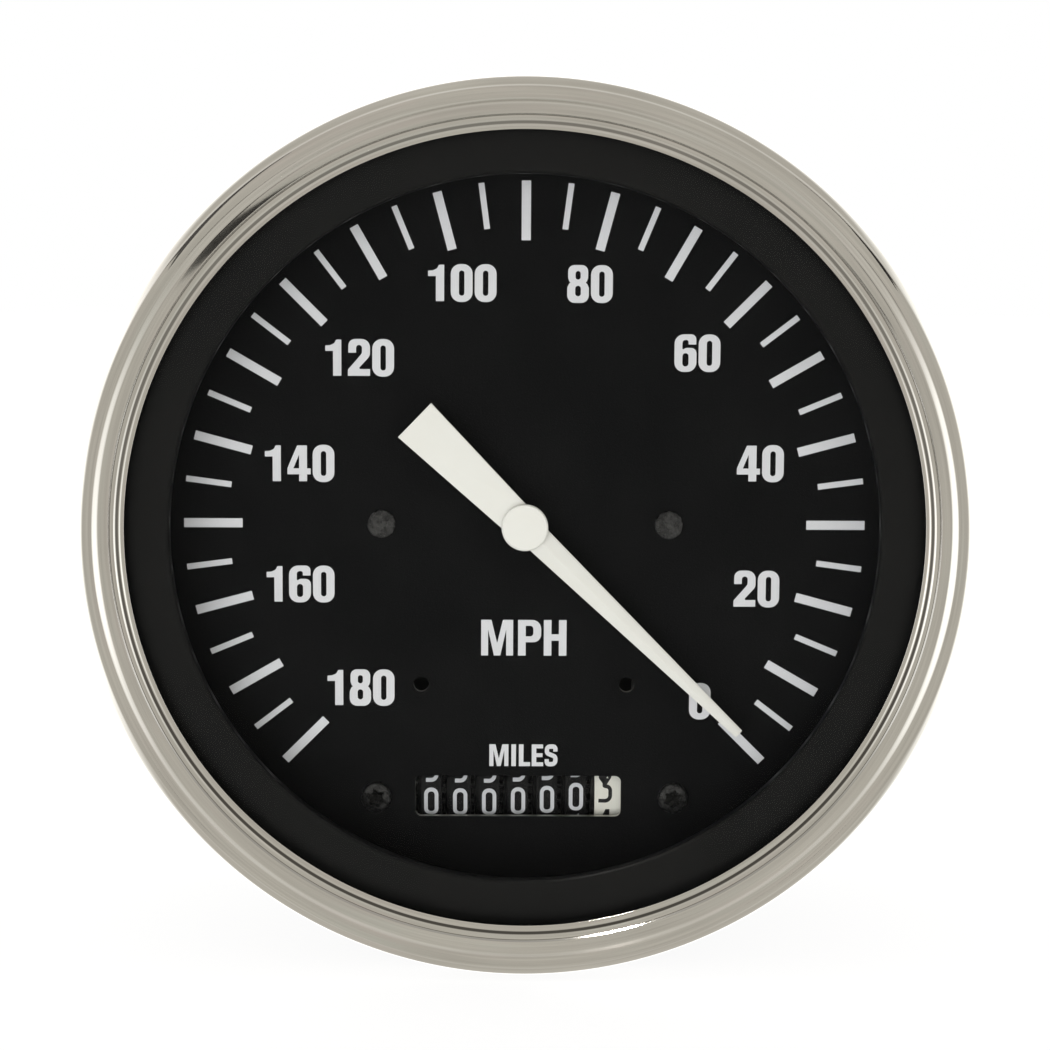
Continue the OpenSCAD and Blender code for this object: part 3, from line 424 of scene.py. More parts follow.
class Rule:
    """A Geometry Nodes tree whose named inputs make one kind of repeated or wound shape."""

    trees: dict[str, bpy.types.NodeTree] = {}

    @staticmethod
    def start(name: str, *labels: str) -> tuple[Wiring, list[Socket]]:
        """Starts a tree that takes a shape, numbers and a finish, and gives a shape.

        Args:
            name: the tree's name.
            labels: names of the numbers, of which Count is a whole one.

        Returns:
            The tree's wiring, and the sockets of the shape, the numbers and the finish.
        """
        kinds = {label: Kind.COUNT if label == "Count" else Kind.NUMBER for label in labels}
        wiring = new_tree(name, "GeometryNodeTree", {"Shape": Kind.SHAPE, **kinds, "Finish": Kind.FINISH},
                          {"Shape": Kind.SHAPE})
        return wiring, list(wiring.node("NodeGroupInput").outputs)[:-1]

    @classmethod
    def close(cls, name: str, wiring: Wiring, shape: Socket, finish: Socket) -> None:
        """Ends a tree in Realize Instances and Set Material.

        Args:
            name: the tree's name.
            wiring: its wiring.
            shape: the shape that it gives.
            finish: the finish of that shape.
        """
        real = wiring.give("GeometryNodeRealizeInstances", {0: shape})
        dressed = wiring.give("GeometryNodeSetMaterial", {"Geometry": real, "Material": finish})
        wiring.node("NodeGroupOutput", {0: dressed})
        cls.trees[name] = wiring.tree

    @classmethod
    def dial_marks(cls) -> None:
        """Straight marks that stand round the dial at even steps."""
        w, (_, count, inner, outer, width, thickness, depth, first, step, finish) = cls.start(
            "dial_marks", "Count", "Inner", "Outer", "Width", "Thickness", "Depth", "Start", "Step")
        line = w.give("GeometryNodeMeshLine", {"Count": count, "Offset": (0, 0, 0)})
        angle = w.plus(first, w.times(w.give("GeometryNodeInputIndex"), step))
        middle = w.times(w.plus(inner, outer), 0.5)
        place = w.together(w.times(middle, w.math("COSINE", angle)), depth, w.times(middle, w.math("SINE", angle)))
        placed = w.give("GeometryNodeSetPosition", {"Geometry": line, "Position": place})
        mark = w.give("GeometryNodeMeshCube", {"Size": w.together(w.minus(outer, inner), thickness, width)})
        turn = w.give("FunctionNodeEulerToRotation", {0: w.together(0.0, w.times(angle, -1.0), 0.0)})
        marks = w.give("GeometryNodeInstanceOnPoints", {"Points": placed, "Instance": mark, "Rotation": turn})
        cls.close("dial_marks", w, marks, finish)

    @classmethod
    def paired(cls) -> None:
        """Two copies of the shape at equal distances left and right, each turned on its own axis."""
        w, (shape, spread, height, turn, finish) = cls.start("paired", "Spread", "Height", "Turn")
        start = w.together(w.times(spread, -1.0), 0.0, height)
        step = w.together(w.times(spread, 2.0), 0.0, 0.0)
        line = w.give("GeometryNodeMeshLine", {"Count": 2, "Start Location": start, "Offset": step})
        swing = w.times(w.plus(w.give("GeometryNodeInputIndex"), 1.0), turn)
        way = w.give("FunctionNodeEulerToRotation", {0: w.together(0.0, swing, 0.0)})
        copies = w.give("GeometryNodeInstanceOnPoints", {"Points": line, "Instance": shape, "Rotation": way})
        cls.close("paired", w, copies, finish)

    @classmethod
    def thread(cls) -> None:
        """Adds a screw thread along the depth to the shape that it is given."""
        w, (shape, turns, length, radius, ridge, start, finish) = cls.start(
            "thread", "Turns", "Length", "Radius", "Ridge", "Start")
        path = w.give("GeometryNodeCurveSpiral", {"Resolution": 20, "Rotations": turns, "Start Radius": radius,
                                                  "End Radius": radius, "Height": length})
        upright = w.give("GeometryNodeSetCurveNormal", {"Curve": path}, mode="Z_UP")
        section = w.give("GeometryNodeCurvePrimitiveCircle", {"Resolution": 4, "Radius": ridge})
        wound = w.give("GeometryNodeCurveToMesh", {"Curve": upright, "Profile Curve": section, "Fill Caps": True})
        laid = w.give("GeometryNodeTransform", {"Geometry": wound, "Translation": w.together(0.0, start, 0.0),
                                                "Rotation": (-math.pi / 2, 0, 0)})
        both = w.node("GeometryNodeJoinGeometry")
        for part in (shape, laid):
            w.tree.links.new(part, both.inputs[0])
        cls.close("thread", w, both.outputs[0], finish)

    @classmethod
    def wrap(cls) -> None:
        """Bends a flat strip of print round a wheel: z along it becomes the way round."""
        w, (shape, radius, turn, across, depth, height, finish) = cls.start(
            "wrap", "Radius", "Turn", "Across", "Depth", "Height")
        x, y, z = w.apart(w.give("GeometryNodeInputPosition"))
        angle = w.plus(w.math("DIVIDE", z, radius), turn)
        reach = w.minus(radius, y)
        place = w.together(w.plus(x, across), w.minus(depth, w.times(reach, w.math("COSINE", angle))),
                           w.plus(height, w.times(reach, w.math("SINE", angle))))
        bent = w.give("GeometryNodeSetPosition", {"Geometry": shape, "Position": place})
        cls.close("wrap", w, bent, finish)

    @classmethod
    def apply(cls, piece: Piece, name: str, **values: object) -> Piece:
        """Runs a tree on a piece and keeps the result as its plain mesh.

        Args:
            piece: the object that the tree is given.
            name: the tree's name.
            values: the tree's inputs by name, lengths in metres.

        Returns:
            The same object with its new mesh.
        """
        if not cls.trees:
            for build in (cls.dial_marks, cls.paired, cls.thread, cls.wrap):
                build()
        tree = cls.trees[name]
        sockets = {s.name: s.identifier for s in tree.interface.items_tree if s.in_out == "INPUT"}
        modifier = piece.modifiers.new(name, "NODES")
        modifier.node_group = tree
        for label, value in values.items():
            modifier[sockets[label]] = value
        view = bpy.context.evaluated_depsgraph_get()
        made = bpy.data.meshes.new_from_object(piece.evaluated_get(view))
        piece.modifiers.remove(modifier)
        old, piece.data = piece.data, made
        bpy.data.meshes.remove(old)
        made.name = piece.name
        return piece


# ---------------------------------------------------------------- finishes


class Effects:
    """Shader node groups that several finishes share. Each is built once."""

    made: dict[str, bpy.types.NodeTree] = {}

    @classmethod
    def get(cls, name: str) -> bpy.types.NodeTree:
        """The group of that name, built the first time that it is asked for.

        Args:
            name: the effect's name.

        Returns:
            Its tree.
        """
        if name not in cls.made:
            w = new_tree(name, "ShaderNodeTree", {"Place": Kind.VECTOR, "Size": Kind.NUMBER},
                         {"Height": Kind.NUMBER, "Tone": Kind.NUMBER})
            entry = w.node("NodeGroupInput")
            height, tone = getattr(cls, name)(w, entry.outputs["Place"], entry.outputs["Size"])
            w.node("NodeGroupOutput", {"Height": height, "Tone": tone})
            cls.made[name] = w.tree
        return cls.made[name]

    @staticmethod
    def noise(w: Wiring, place: Socket, size: float | Socket, detail: float = 2.0, rough: float = 0.5) -> Socket:
        """Noise whose features are about size metres across."""
        scale = w.math("DIVIDE", 1.0, size)
        return w.give("ShaderNodeTexNoise", {"Vector": place, "Scale": scale, "Detail": detail,
                                             "Roughness": rough})

    @classmethod
    def mottled(cls, w: Wiring, grain: Socket, place: Socket, size: Socket, coarse: float, detail: float,
                share: float) -> tuple[Socket, Socket]:
        """A grain, and its tone with broad patches.

        Args:
            w: wiring of the tree.
            grain: the fine grain.
            place: the point on the surface.
            size: size of the grain.
            coarse: how many times as large the patches are.
            detail: detail of the patches.
            share: how much of the tone is grain, where the rest is patches.

        Returns:
            The grain and the tone.
        """
        broad = cls.noise(w, place, w.times(size, coarse), detail)
        return grain, w.span(w.plus(w.times(grain, share), w.times(broad, 1 - share)), 0.3, 0.7, 0.0, 1.0)

    @classmethod
    def fine(cls, w: Wiring, place: Socket, size: Socket) -> tuple[Socket, Socket]:
        """Even fine grain, as on paint and moulded plastic."""
        return cls.mottled(w, cls.noise(w, place, size, 3.0, 0.6), place, size, 14.0, 2.0, 0.5)

    @classmethod
    def turned(cls, w: Wiring, place: Socket, size: Socket) -> tuple[Socket, Socket]:
        """Fine lines that run round the dial's axis, as turning and drawing leave them.

        Args:
            w: wiring of the tree.
            place: the point on the surface.
            size: size of the grain.

        Returns:
            The lines and the tone.
        """
        x, y, z = w.apart(place)
        lines = cls.noise(w, w.together(w.reach(x, z), y, 0.0), size, 4.0, 0.7)
        return cls.mottled(w, lines, place, size, 40.0, 3.0, 0.6)

    @classmethod
    def brushed(cls, w: Wiring, place: Socket, size: Socket) -> tuple[Socket, Socket]:
        """Short straight lines across, as rolled and brushed sheet has.

        Args:
            w: wiring of the tree.
            place: the point on the surface.
            size: size of the grain.

        Returns:
            The lines and the tone.
        """
        x, y, z = w.apart(place)
        lines = cls.noise(w, w.together(w.times(x, 0.04), y, z), size, 4.0, 0.7)
        return cls.mottled(w, lines, place, size, 30.0, 3.0, 0.5)

    @classmethod
    def wound(cls, w: Wiring, place: Socket, size: Socket) -> tuple[Socket, Socket]:
        """Rows of wire that lie side by side.

        Args:
            w: wiring of the tree.
            place: the point on the surface.
            size: from wire to wire.

        Returns:
            The rows and the tone.
        """
        x, _, z = w.apart(place)
        step = w.math("DIVIDE", math.pi, size)
        rows = [w.math("ABSOLUTE", w.math("SINE", w.times(v, step))) for v in (x, z)]
        broad = cls.noise(w, place, w.times(size, 9.0))
        return w.times(*rows), w.times(w.math("MINIMUM", *rows), w.span(broad, 0.3, 0.7, 0.6, 1.0))

    @classmethod
    def handled(cls, w: Wiring, place: Socket, size: Socket) -> tuple[Socket, Socket]:
        """Faint broad smears that handling and wiping leave."""
        smear = cls.noise(w, place, size, 5.0, 0.65)
        return smear, w.span(smear, 0.42, 0.66, 0.0, 1.0)


class Grain(Enum):
    """Surface of a finish, by the name of its effect."""

    FINE = "fine"
    TURNED = "turned"
    BRUSHED = "brushed"
    WOUND = "wound"


@dataclass(frozen=True)
class Surface:
    """A finish by name, whose material is made once."""

    name: str

    def material(self) -> Material:
        """The material, made the first time that it is asked for."""
        return bpy.data.materials.get(self.name) or self.make()

    def make(self) -> Material:
        """Builds the material. Each kind of surface has its own way."""
        raise NotImplementedError


@dataclass(frozen=True)
class Finish(Surface):
    """A solid finish. Lengths are in millimetres and colours are linear."""

    colour: Colour
    worn: Colour
    roughness: float = 0.4
    spread: float = 0.08
    metallic: float = 0.0
    specular: float = 0.5
    coat: float = 0.0
    coat_roughness: float = 0.15
    grain: Grain = Grain.FINE
    grain_size: float = 0.25
    grain_depth: float = 0.004
    smear_size: float = 9.0

    def make(self) -> Material:
        """Builds the material.

        Returns:
            The new material.
        """
        made, w = new_material(self.name)
        place = w.node("ShaderNodeTexCoord").outputs["Object"]
        grain = w.group(Effects.get(self.grain.value), Place=place, Size=self.grain_size * MM)
        smear = w.group(Effects.get("handled"), Place=place, Size=self.smear_size * MM)
        shader = w.give("ShaderNodeBsdfPrincipled", {
            "Base Color": self.colours(w, place, grain.outputs["Tone"], smear.outputs["Tone"]),
            "Metallic": self.metal(w, place),
            "Roughness": self.gloss(w, grain.outputs["Tone"], smear.outputs["Tone"]),
            "Specular IOR Level": self.specular,
            "Coat Weight": self.coat,
            "Coat Roughness": self.coat_roughness,
            "Normal": w.give("ShaderNodeBump", {"Strength": 1.0, "Distance": self.grain_depth * MM,
                                                "Height": grain.outputs["Height"]})})
        w.node("ShaderNodeOutputMaterial", {"Surface": shader})
        return made

    def colours(self, w: Wiring, place: Socket, tone: Socket, smear: Socket) -> Socket:
        """Colour from the grain's tone and the smears."""
        return w.blend(w.times(w.plus(tone, smear), 0.5), self.colour, self.worn)

    def metal(self, w: Wiring, place: Socket) -> float | Socket:
        """How metallic the surface is."""
        return self.metallic

    def gloss(self, w: Wiring, tone: Socket, smear: Socket) -> Socket:
        """Roughness from the grain's tone and the smears."""
        both = w.plus(w.times(tone, 0.4), w.times(smear, 0.6))
        return w.span(both, 0.0, 1.0, max(LEAST_ROUGHNESS, self.roughness - self.spread), self.roughness + self.spread)


@dataclass(frozen=True)
class PolishedRing(Finish):
    """Sheet polished on a lathe: long soft streaks run round it, some faintly tinted. Painted shade darkens its groove
    and crease, more towards the bottom.
    """

    cool: Colour = (0.60, 0.63, 0.585)
    warm: Colour = (0.665, 0.60, 0.575)
    streak: float = 0.55
    stretch: float = 2.2
    lean: float = 0.7
    tint_size: float = 1.7
    tinted: float = 0.35
    # painted shade: the dark colour laid into the groove and crease, and for each its radius, half widths and strength
    dirt: Colour = (0.07, 0.065, 0.058)
    soiled: tuple = ((56.15, 0.16, 0.26, 0.95), (57.18, 0.08, 0.18, 0.5))  # radius, two half widths, strength

    def colours(self, w: Wiring, place: Socket, tone: Socket, smear: Socket) -> Socket:
        """The metal's colour, streaked round the ring, with painted shade in the groove and crease.

        Args:
            w: wiring of the material's tree.
            place: the point on the surface.
            tone: the grain's tone.
            smear: the smears.

        Returns:
            The colour.
        """
        x, y, z = w.apart(place)
        radius = w.reach(x, z)
        across = w.minus(radius, w.times(y, self.lean))
        ways = [w.times(w.math("DIVIDE", v, radius), self.stretch * self.streak * MM) for v in (x, z)]
        lines = Effects.noise(w, w.together(across, *ways), self.streak * MM, 4.0, 0.6)
        tints = Effects.noise(w, w.together(across, *ways), self.streak * self.tint_size * MM, 2.0)
        plain = w.blend(w.span(lines, 0.32, 0.68, 0.0, 1.0), self.colour, self.worn)
        tinted = w.blend(w.span(tints, 0.35, 0.65, 0.0, 1.0), self.cool, self.warm)
        metal_colour = w.blend(w.times(smear, self.tinted), plain, tinted)
        # painted shade in the groove and crease, heavier towards the bottom of the ring
        for centre, full, end, depth in self.soiled:
            away = w.math("ABSOLUTE", w.minus(radius, centre * MM))
            shading = w.times(w.span(away, full * MM, end * MM, 1.0, 0.0), w.span(z, -0.03, 0.03, depth, 0.65 * depth))
            metal_colour = w.blend(shading, metal_colour, self.dirt)
        return metal_colour


@dataclass(frozen=True)
class OxideScrews(Finish):
    """Blackened screws with painted shade inside the star recesses. Millimetres."""

    star_place: Corner = (21.45, 0.17, -39.79)
    recess_reach: float = 1.3
    recess_from: float = 6.7
    recess_to: float = 7.0
    # colour of the painted shade down in the star recesses
    shade: Colour = (0.002, 0.002, 0.002)

    def colours(self, w: Wiring, place: Socket, tone: Socket, smear: Socket) -> Socket:
        """The oxide, with painted shade down in the recesses.

        Args:
            w: wiring of the material's tree.
            place: the point on the surface.
            tone: the grain's tone.
            smear: the smears.

        Returns:
            The colour.
        """
        x, y, z = w.apart(place)
        spread, nudge, level = (v * MM for v in self.star_place)
        across = w.minus(w.math("ABSOLUTE", w.minus(x, nudge)), spread)
        up = w.minus(z, level)
        reach = w.reach(across, up)
        # painted shade: strongest deep inside the star recesses
        inside = w.times(w.span(reach, self.recess_reach * MM, (self.recess_reach + 0.1) * MM, 1.0, 0.0),
                         w.span(y, self.recess_from * MM, self.recess_to * MM, 0.0, 0.9))
        return w.blend(inside, super().colours(w, place, tone, smear), self.shade)


@dataclass(frozen=True)
class PaintedPlate(Finish):
    """Paint on the front of a metal plate. The cut edges behind it are bare."""

    cut_depth: float = 8.27
    bare: Colour = (0.5, 0.49, 0.46)

    def cut(self, w: Wiring, place: Socket) -> Socket:
        """1 where the surface lies behind the painted front."""
        return w.math("GREATER_THAN", w.apart(place)[1], self.cut_depth * MM)

    def colours(self, w: Wiring, place: Socket, tone: Socket, smear: Socket) -> Socket:
        """Paint in front and bare metal behind."""
        return w.blend(self.cut(w, place), super().colours(w, place, tone, smear), self.bare)

    def metal(self, w: Wiring, place: Socket) -> Socket:
        """Metal behind the painted front."""
        return self.cut(w, place)


@dataclass(frozen=True)
class PaintedRim(Finish):
    """White paint on the rim of the tenths wheel. Inside the rim's radius, on its sides and teeth, it is dark."""

    # the dark colour inside the rim's radius
    bare: Colour = (0.011, 0.011, 0.012)
    axis_depth: float = 17.55
    axis_level: float = -39.7
    rim: float = 7.9

    def colours(self, w: Wiring, place: Socket, tone: Socket, smear: Socket) -> Socket:
        """Paint on the rim and a dark colour inside its radius.

        Args:
            w: wiring of the material's tree.
            place: the point on the surface.
            tone: the grain's tone.
            smear: the smears.

        Returns:
            The colour.
        """
        _, depth, level = w.apart(place)
        back, up = w.minus(depth, self.axis_depth * MM), w.minus(level, self.axis_level * MM)
        reach = w.reach(back, up)
        inside = w.math("LESS_THAN", reach, self.rim * MM)
        return w.blend(inside, super().colours(w, place, tone, smear), self.bare)


@dataclass(frozen=True)
class Glass(Surface):
    """Clear glass that lets lamps through."""

    tint: Colour
    index: float = 1.09
    smear_size: float = 25
    smeared: float = 0.985
    haze: float = 0.012

    def make(self) -> Material:
        """Builds the material.

        Returns:
            The new material.
        """
        made, w = new_material(self.name)
        place = w.node("ShaderNodeTexCoord").outputs["Object"]
        smear = w.group(Effects.get("handled"), Place=place, Size=self.smear_size * MM).outputs["Tone"]
        clear = w.give("ShaderNodeBsdfPrincipled", {
            "Base Color": w.blend(smear, self.tint, tuple(self.smeared * c for c in self.tint)),
            "Metallic": 0.0, "Roughness": w.span(smear, 0.0, 1.0, 0.0, self.haze),
            "Transmission Weight": 1.0, "IOR": self.index})
        through = w.give("ShaderNodeBsdfTransparent")
        ray = w.node("ShaderNodeLightPath").outputs["Is Shadow Ray"]
        mixed = w.give("ShaderNodeMixShader", {0: ray, 1: clear, 2: through})
        w.node("ShaderNodeOutputMaterial", {"Surface": mixed})
        return made


POLISHED = PolishedRing("polished_sheet", (0.645, 0.63, 0.585), (0.545, 0.53, 0.49), 0.09, 0.03, 1.0,
                        grain=Grain.TURNED, grain_size=0.35, grain_depth=0.0004, smear_size=16)
DIAL_BLACK = PaintedPlate("dial_paint", (0.0037, 0.0038, 0.0042), (0.0076, 0.0077, 0.0081), 0.5, 0.06,
                          specular=0.03, grain_size=0.3, grain_depth=0.018, smear_size=14)
POINTER_WHITE = Finish("pointer_enamel", (0.84, 0.83, 0.80), (0.81, 0.795, 0.755), 0.34, 0.05, specular=0.4,
                       grain_size=0.3, grain_depth=0.003)
DIAL_INK = Finish("dial_ink", (0.72, 0.72, 0.755), (0.67, 0.67, 0.705), 0.5, 0.08, specular=0.2,
                  grain_size=0.18, grain_depth=0.004)
WHEEL_INK = Finish("wheel_ink", (0.60, 0.61, 0.65), (0.52, 0.53, 0.56), 0.45, 0.08, specular=0.3,
                   grain_size=0.15, grain_depth=0.003)
DARK_INK = Finish("dark_wheel_ink", (0.010, 0.010, 0.011), (0.018, 0.018, 0.019), 0.45, 0.08, specular=0.3,
                  grain_size=0.15, grain_depth=0.003)
SLOT_FINISHES: dict[str, Surface] = {
    "polished_steel": POLISHED,
    "window_glass": Glass("window_pane", (0.97, 0.985, 0.98)),
    "black_rubber": Finish("moulded_rubber", (0.018, 0.018, 0.018), (0.03, 0.03, 0.029), 0.7, 0.1,
                           grain_size=0.2, grain_depth=0.012),
    "ring_black": Finish("ring_paint", (0.0042, 0.0042, 0.0044), (0.0062, 0.0061, 0.0061), 0.42, 0.05,
                         specular=0.14, grain_size=0.28, grain_depth=0.006, smear_size=18),
    "case_steel": Finish("case_enamel", (0.030, 0.030, 0.032), (0.042, 0.042, 0.043), 0.36, 0.07, coat=0.25,
                         grain=Grain.TURNED, grain_size=0.5, grain_depth=0.006, smear_size=20),
    "dial_black": DIAL_BLACK,
    "dark_fasteners": OxideScrews("black_oxide", (0.009, 0.009, 0.0095), (0.092, 0.091, 0.092), 0.32, 0.12, 0.75,
                                  grain_size=0.28, grain_depth=0.03, smear_size=0.8),
    "pointer_white": POINTER_WHITE,
    "bright_steel": Finish("bright_zinc", (0.56, 0.56, 0.57), (0.45, 0.45, 0.45), 0.26, 0.08, 1.0,
                           grain=Grain.TURNED, grain_size=0.2, grain_depth=0.003, smear_size=4),
    "magnet_grey": Finish("sintered_magnet", (0.10, 0.10, 0.105), (0.16, 0.16, 0.165), 0.5, 0.1, 0.7,
                          grain_size=0.15, grain_depth=0.015),
    "brass_yellow": Finish("plain_brass", (0.66, 0.48, 0.20), (0.52, 0.36, 0.14), 0.28, 0.08, 1.0,
                           grain=Grain.BRUSHED, grain_size=0.12, grain_depth=0.003, smear_size=4),
    "moulded_ivory": Finish("ivory_moulding", (0.66, 0.61, 0.49), (0.58, 0.53, 0.41), 0.42, 0.08,
                            grain_size=0.3, grain_depth=0.006),
    "wound_copper": Finish("enamelled_wire", (0.20, 0.055, 0.018), (0.66, 0.26, 0.10), 0.3, 0.08, 0.85, coat=0.4,
                           grain=Grain.WOUND, grain_size=0.22, grain_depth=0.06),
    "can_steel": Finish("shield_can", (0.48, 0.48, 0.47), (0.40, 0.39, 0.38), 0.3, 0.08, 1.0,
                        grain=Grain.TURNED, grain_size=0.3, grain_depth=0.004),
    "board_green": Finish("board_lacquer", (0.018, 0.105, 0.040), (0.030, 0.135, 0.055), 0.3, 0.06, coat=0.3,
                          grain_size=0.5, grain_depth=0.008),
    "parts_black": Finish("moulded_black", (0.022, 0.022, 0.023), (0.034, 0.034, 0.034), 0.48, 0.08,
                          grain_size=0.16, grain_depth=0.010),
    "button_red": Finish("button_moulding", (0.42, 0.018, 0.014), (0.50, 0.035, 0.025), 0.32, 0.06,
                         grain_size=0.25, grain_depth=0.004),
    "frame_steel": Finish("plated_sheet", (0.52, 0.52, 0.50), (0.42, 0.42, 0.40), 0.3, 0.08, 1.0,
                          grain=Grain.BRUSHED, grain_size=0.18, grain_depth=0.004, smear_size=7),
    "wheel_black": Finish("wheel_moulding", (0.0045, 0.0045, 0.005), (0.0075, 0.0075, 0.008), 0.34, 0.06,
                          specular=0.16, grain_size=0.25, grain_depth=0.004),
    "wheel_white": PaintedRim("white_rim_paint", (0.74, 0.73, 0.68), (0.68, 0.67, 0.61), 0.35, 0.06,
                              grain_size=0.25, grain_depth=0.004),
    "motor_steel": Finish("motor_can", (0.42, 0.42, 0.42), (0.34, 0.34, 0.34), 0.34, 0.08, 1.0,
                          grain=Grain.BRUSHED, grain_size=0.2, grain_depth=0.004),
    "lamp_plastic": Finish("socket_moulding", (0.040, 0.040, 0.043), (0.058, 0.058, 0.060), 0.45, 0.08,
                           grain_size=0.3, grain_depth=0.010),
    "lamp_glass": Glass("lamp_envelope", (0.97, 0.955, 0.90), 1.4),
}


def dress(piece: Piece, body: str, slot: str, finish: Surface | None = None,
          stands_for: tuple[str, ...] = ()) -> Piece:
    """Gives a piece its finish, its own or its slot's, and its body, and hides the CAD nodes that it stands for.

    Args:
        piece: the object.
        body: the body that it rides on.
        slot: the record's slot.
        finish: its finish, or none for the slot's own.
        stands_for: CAD nodes that it replaces.

    Returns:
        The same object.
    """
    piece.data.materials.clear()
    piece.data.materials.append((finish or SLOT_FINISHES[slot]).material())
    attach(piece, body)
    if stands_for:
        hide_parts(*stands_for)
    return piece


# ---------------------------------------------------------------- pieces


@dataclass
class Bezel:
    """The polished sheet bezel: outer roll, small step, inner roll, groove and lip bead. Millimetres."""

    sides: int = 288
    crest_radius: float = 59.6
    crest: float = 7.5
    waist: float = 3.2
    outer_roll: float = 2.9
    rear_roll: float = 1.1
    metal: float = 0.7
    step_width: float = 1.25
    step_tilt: float = 46.5
    step_points: int = 26
    step_flatness: int = 3
    roll_points: int = 4
    roll_tilts: tuple = ((0.0, 50), (0.2, 50), (0.22, 36), (0.36, 28.5), (0.74, 26.5), (1.27, 25))
    groove_line: tuple = ((0.05, 0.03), (0.15, 0.05), (0.46, 0.045), (0.50, 0.02), (0.54, -0.02), (0.66, -0.14),
                          (0.80, -0.28), (0.84, -0.31), (0.88, -0.315), (0.97, -0.315), (1.10, -0.265),
                          (1.18, -0.255), (1.22, -0.28), (1.26, -0.32), (1.36, -0.42), (1.45, -0.505),
                          (1.49, -0.53), (1.56, -0.54))  # inward of the crease, above it
    groove_radius: float = 56.2
    lip_radius: float = 55.2
    lip_bead: float = 0.13
    lip_drop: float = 0.54
    seat: float = 5.0

    def step(self) -> list[Point]:
        """The fall from the crest to the inner roll, eased at both ends.

        Returns:
            Radius and height of its points, the crest left out.
        """
        points, height, foot = [], self.crest, self.roll_tilts[-1][1]
        for i in range(self.step_points):
            part = (i + 0.5) / self.step_points
            least = foot if part > 0.5 else 0.0
            tilt = least + (self.step_tilt - least) * (1 - abs(2 * part - 1) ** self.step_flatness)
            height -= math.tan(math.radians(tilt)) * self.step_width / self.step_points
            points.append((self.crest_radius - self.step_width * (i + 1) / self.step_points, height))
        return points

    def roll(self, start: Point) -> list[Point]:
        """The inner roll from the foot of the step down to its crease, by its tilt along the way.

        Args:
            start: radius and height of the foot of the step.

        Returns:
            Radius and height of its points, the start left out.
        """
        points, (radius, height) = [], start
        for (there, steep), (here, flat) in zip(self.roll_tilts[-2::-1], self.roll_tilts[:0:-1]):
            for i in range(self.roll_points):
                tilt = flat + (steep - flat) * (i + 0.5) / self.roll_points
                radius -= (here - there) / self.roll_points
                height -= math.tan(math.radians(tilt)) * (here - there) / self.roll_points
                points.append((radius, height))
        return points

    def profile(self) -> list[Point]:
        """The closed section of the bent sheet.

        Returns:
            Radius and height of its points.
        """
        waist = (self.crest_radius, self.waist)
        rear = (self.crest_radius + self.outer_roll - self.rear_roll, self.waist)
        step = self.step()
        inner_radius = step[-1][0]
        roll = self.roll(step[-1])
        crease, foot = roll[-1]
        bead = (self.lip_radius + self.lip_bead, foot - self.lip_drop - self.lip_bead)
        span = inner_radius - self.groove_radius
        rise = self.crest - self.waist
        return ([(self.crest_radius, self.metal), (self.crest_radius, 0.0)]
                + arc(rear, self.rear_roll, self.waist, -90, -6, 10)
                + arc(waist, self.outer_roll, rise, 0, 90, 30) + step
                + roll + [(crease - inward, foot + above) for inward, above in self.groove_line]
                + arc(bead, self.lip_bead, self.lip_bead, 90, 180, 10)
                + [(self.lip_radius, self.seat), (self.groove_radius + self.metal, self.seat)]
                + arc((inner_radius, self.seat), span - self.metal, 1.1, 170, 90, 8)
                + arc(waist, self.outer_roll - self.metal, rise - self.metal, 90, 0, 12)
                + arc(rear, self.rear_roll - self.metal, self.waist - self.metal, -9, -90, 6))

    def build(self) -> list[Piece]:
        """Makes the bezel.

        Returns:
            The one piece.
        """
        draft = Draft()
        draft.revolve(self.profile(), self.sides)
        return [dress(draft.make("bezel_rolled", 22), "housing", "polished_steel", stands_for=("bezel",))]


@dataclass
class GlassAndRing:
    """The flat glass and the painted ring between it and the dial. Millimetres."""

    sides: int = 256
    glass_radius: float = 60.7
    glass_back: float = 3.0
    glass_front: float = 5.0
    ground: float = 0.25
    ring_inner: float = 49.35
    ring_outer: float = 57.1
    ring_front: float = 2.7
    ring_drop: float = 0.9
    ring_roll: float = 0.6
    ring_wall: float = 0.6
    ring_foot: float = -8.2
    ring_lip: float = 0.12
    ring_edge: float = 0.2

    def build(self) -> list[Piece]:
        """Makes the glass and the ring.

        Returns:
            Both pieces.
        """
        edge = self.glass_radius - self.ground
        pane = Draft()
        pane.revolve([(0, self.glass_back), (edge, self.glass_back),
                      (self.glass_radius, self.glass_back + self.ground),
                      (self.glass_radius, self.glass_front - self.ground), (edge, self.glass_front),
                      (0, self.glass_front)], self.sides)
        wall = self.ring_outer - self.ring_wall
        roll = (self.ring_inner + self.ring_roll, self.ring_front - self.ring_roll)
        under = self.ring_front - self.ring_wall
        lip, edge = self.ring_lip, self.ring_edge
        ring = Draft()
        ring.revolve(arc((self.ring_inner + lip, self.ring_drop + lip), lip, lip, 270, 180, 4)
                     + arc(roll, self.ring_roll, self.ring_roll, 180, 90, 12)
                     + arc((self.ring_outer - edge, self.ring_front - edge), edge, edge, 90, 0, 4)
                     + [(self.ring_outer, self.ring_foot), (wall, self.ring_foot), (wall, under),
                        (self.ring_inner + self.ring_wall, under), (self.ring_inner + self.ring_wall, self.ring_drop)],
                     self.sides)
        return [dress(pane.make("window_pane", 30), "housing", "window_glass", stands_for=("lens",)),
                dress(ring.make("trim_ring", 30), "housing", "ring_black", stands_for=("dial_ring",))]


def corners_of(text: str) -> list[Corner]:
    """Corners from a line of text.

    Args:
        text: x,y or x,y,radius for each corner, or left,low,right,high,radius for a whole box.

    Returns:
        The corners.
    """
    made: list[Corner] = []
    for word in text.split():
        numbers = [float(n) for n in word.split(",")]
        made += box(*numbers) if len(numbers) == 5 else [(*numbers, 0.0)[:3]]
    return made


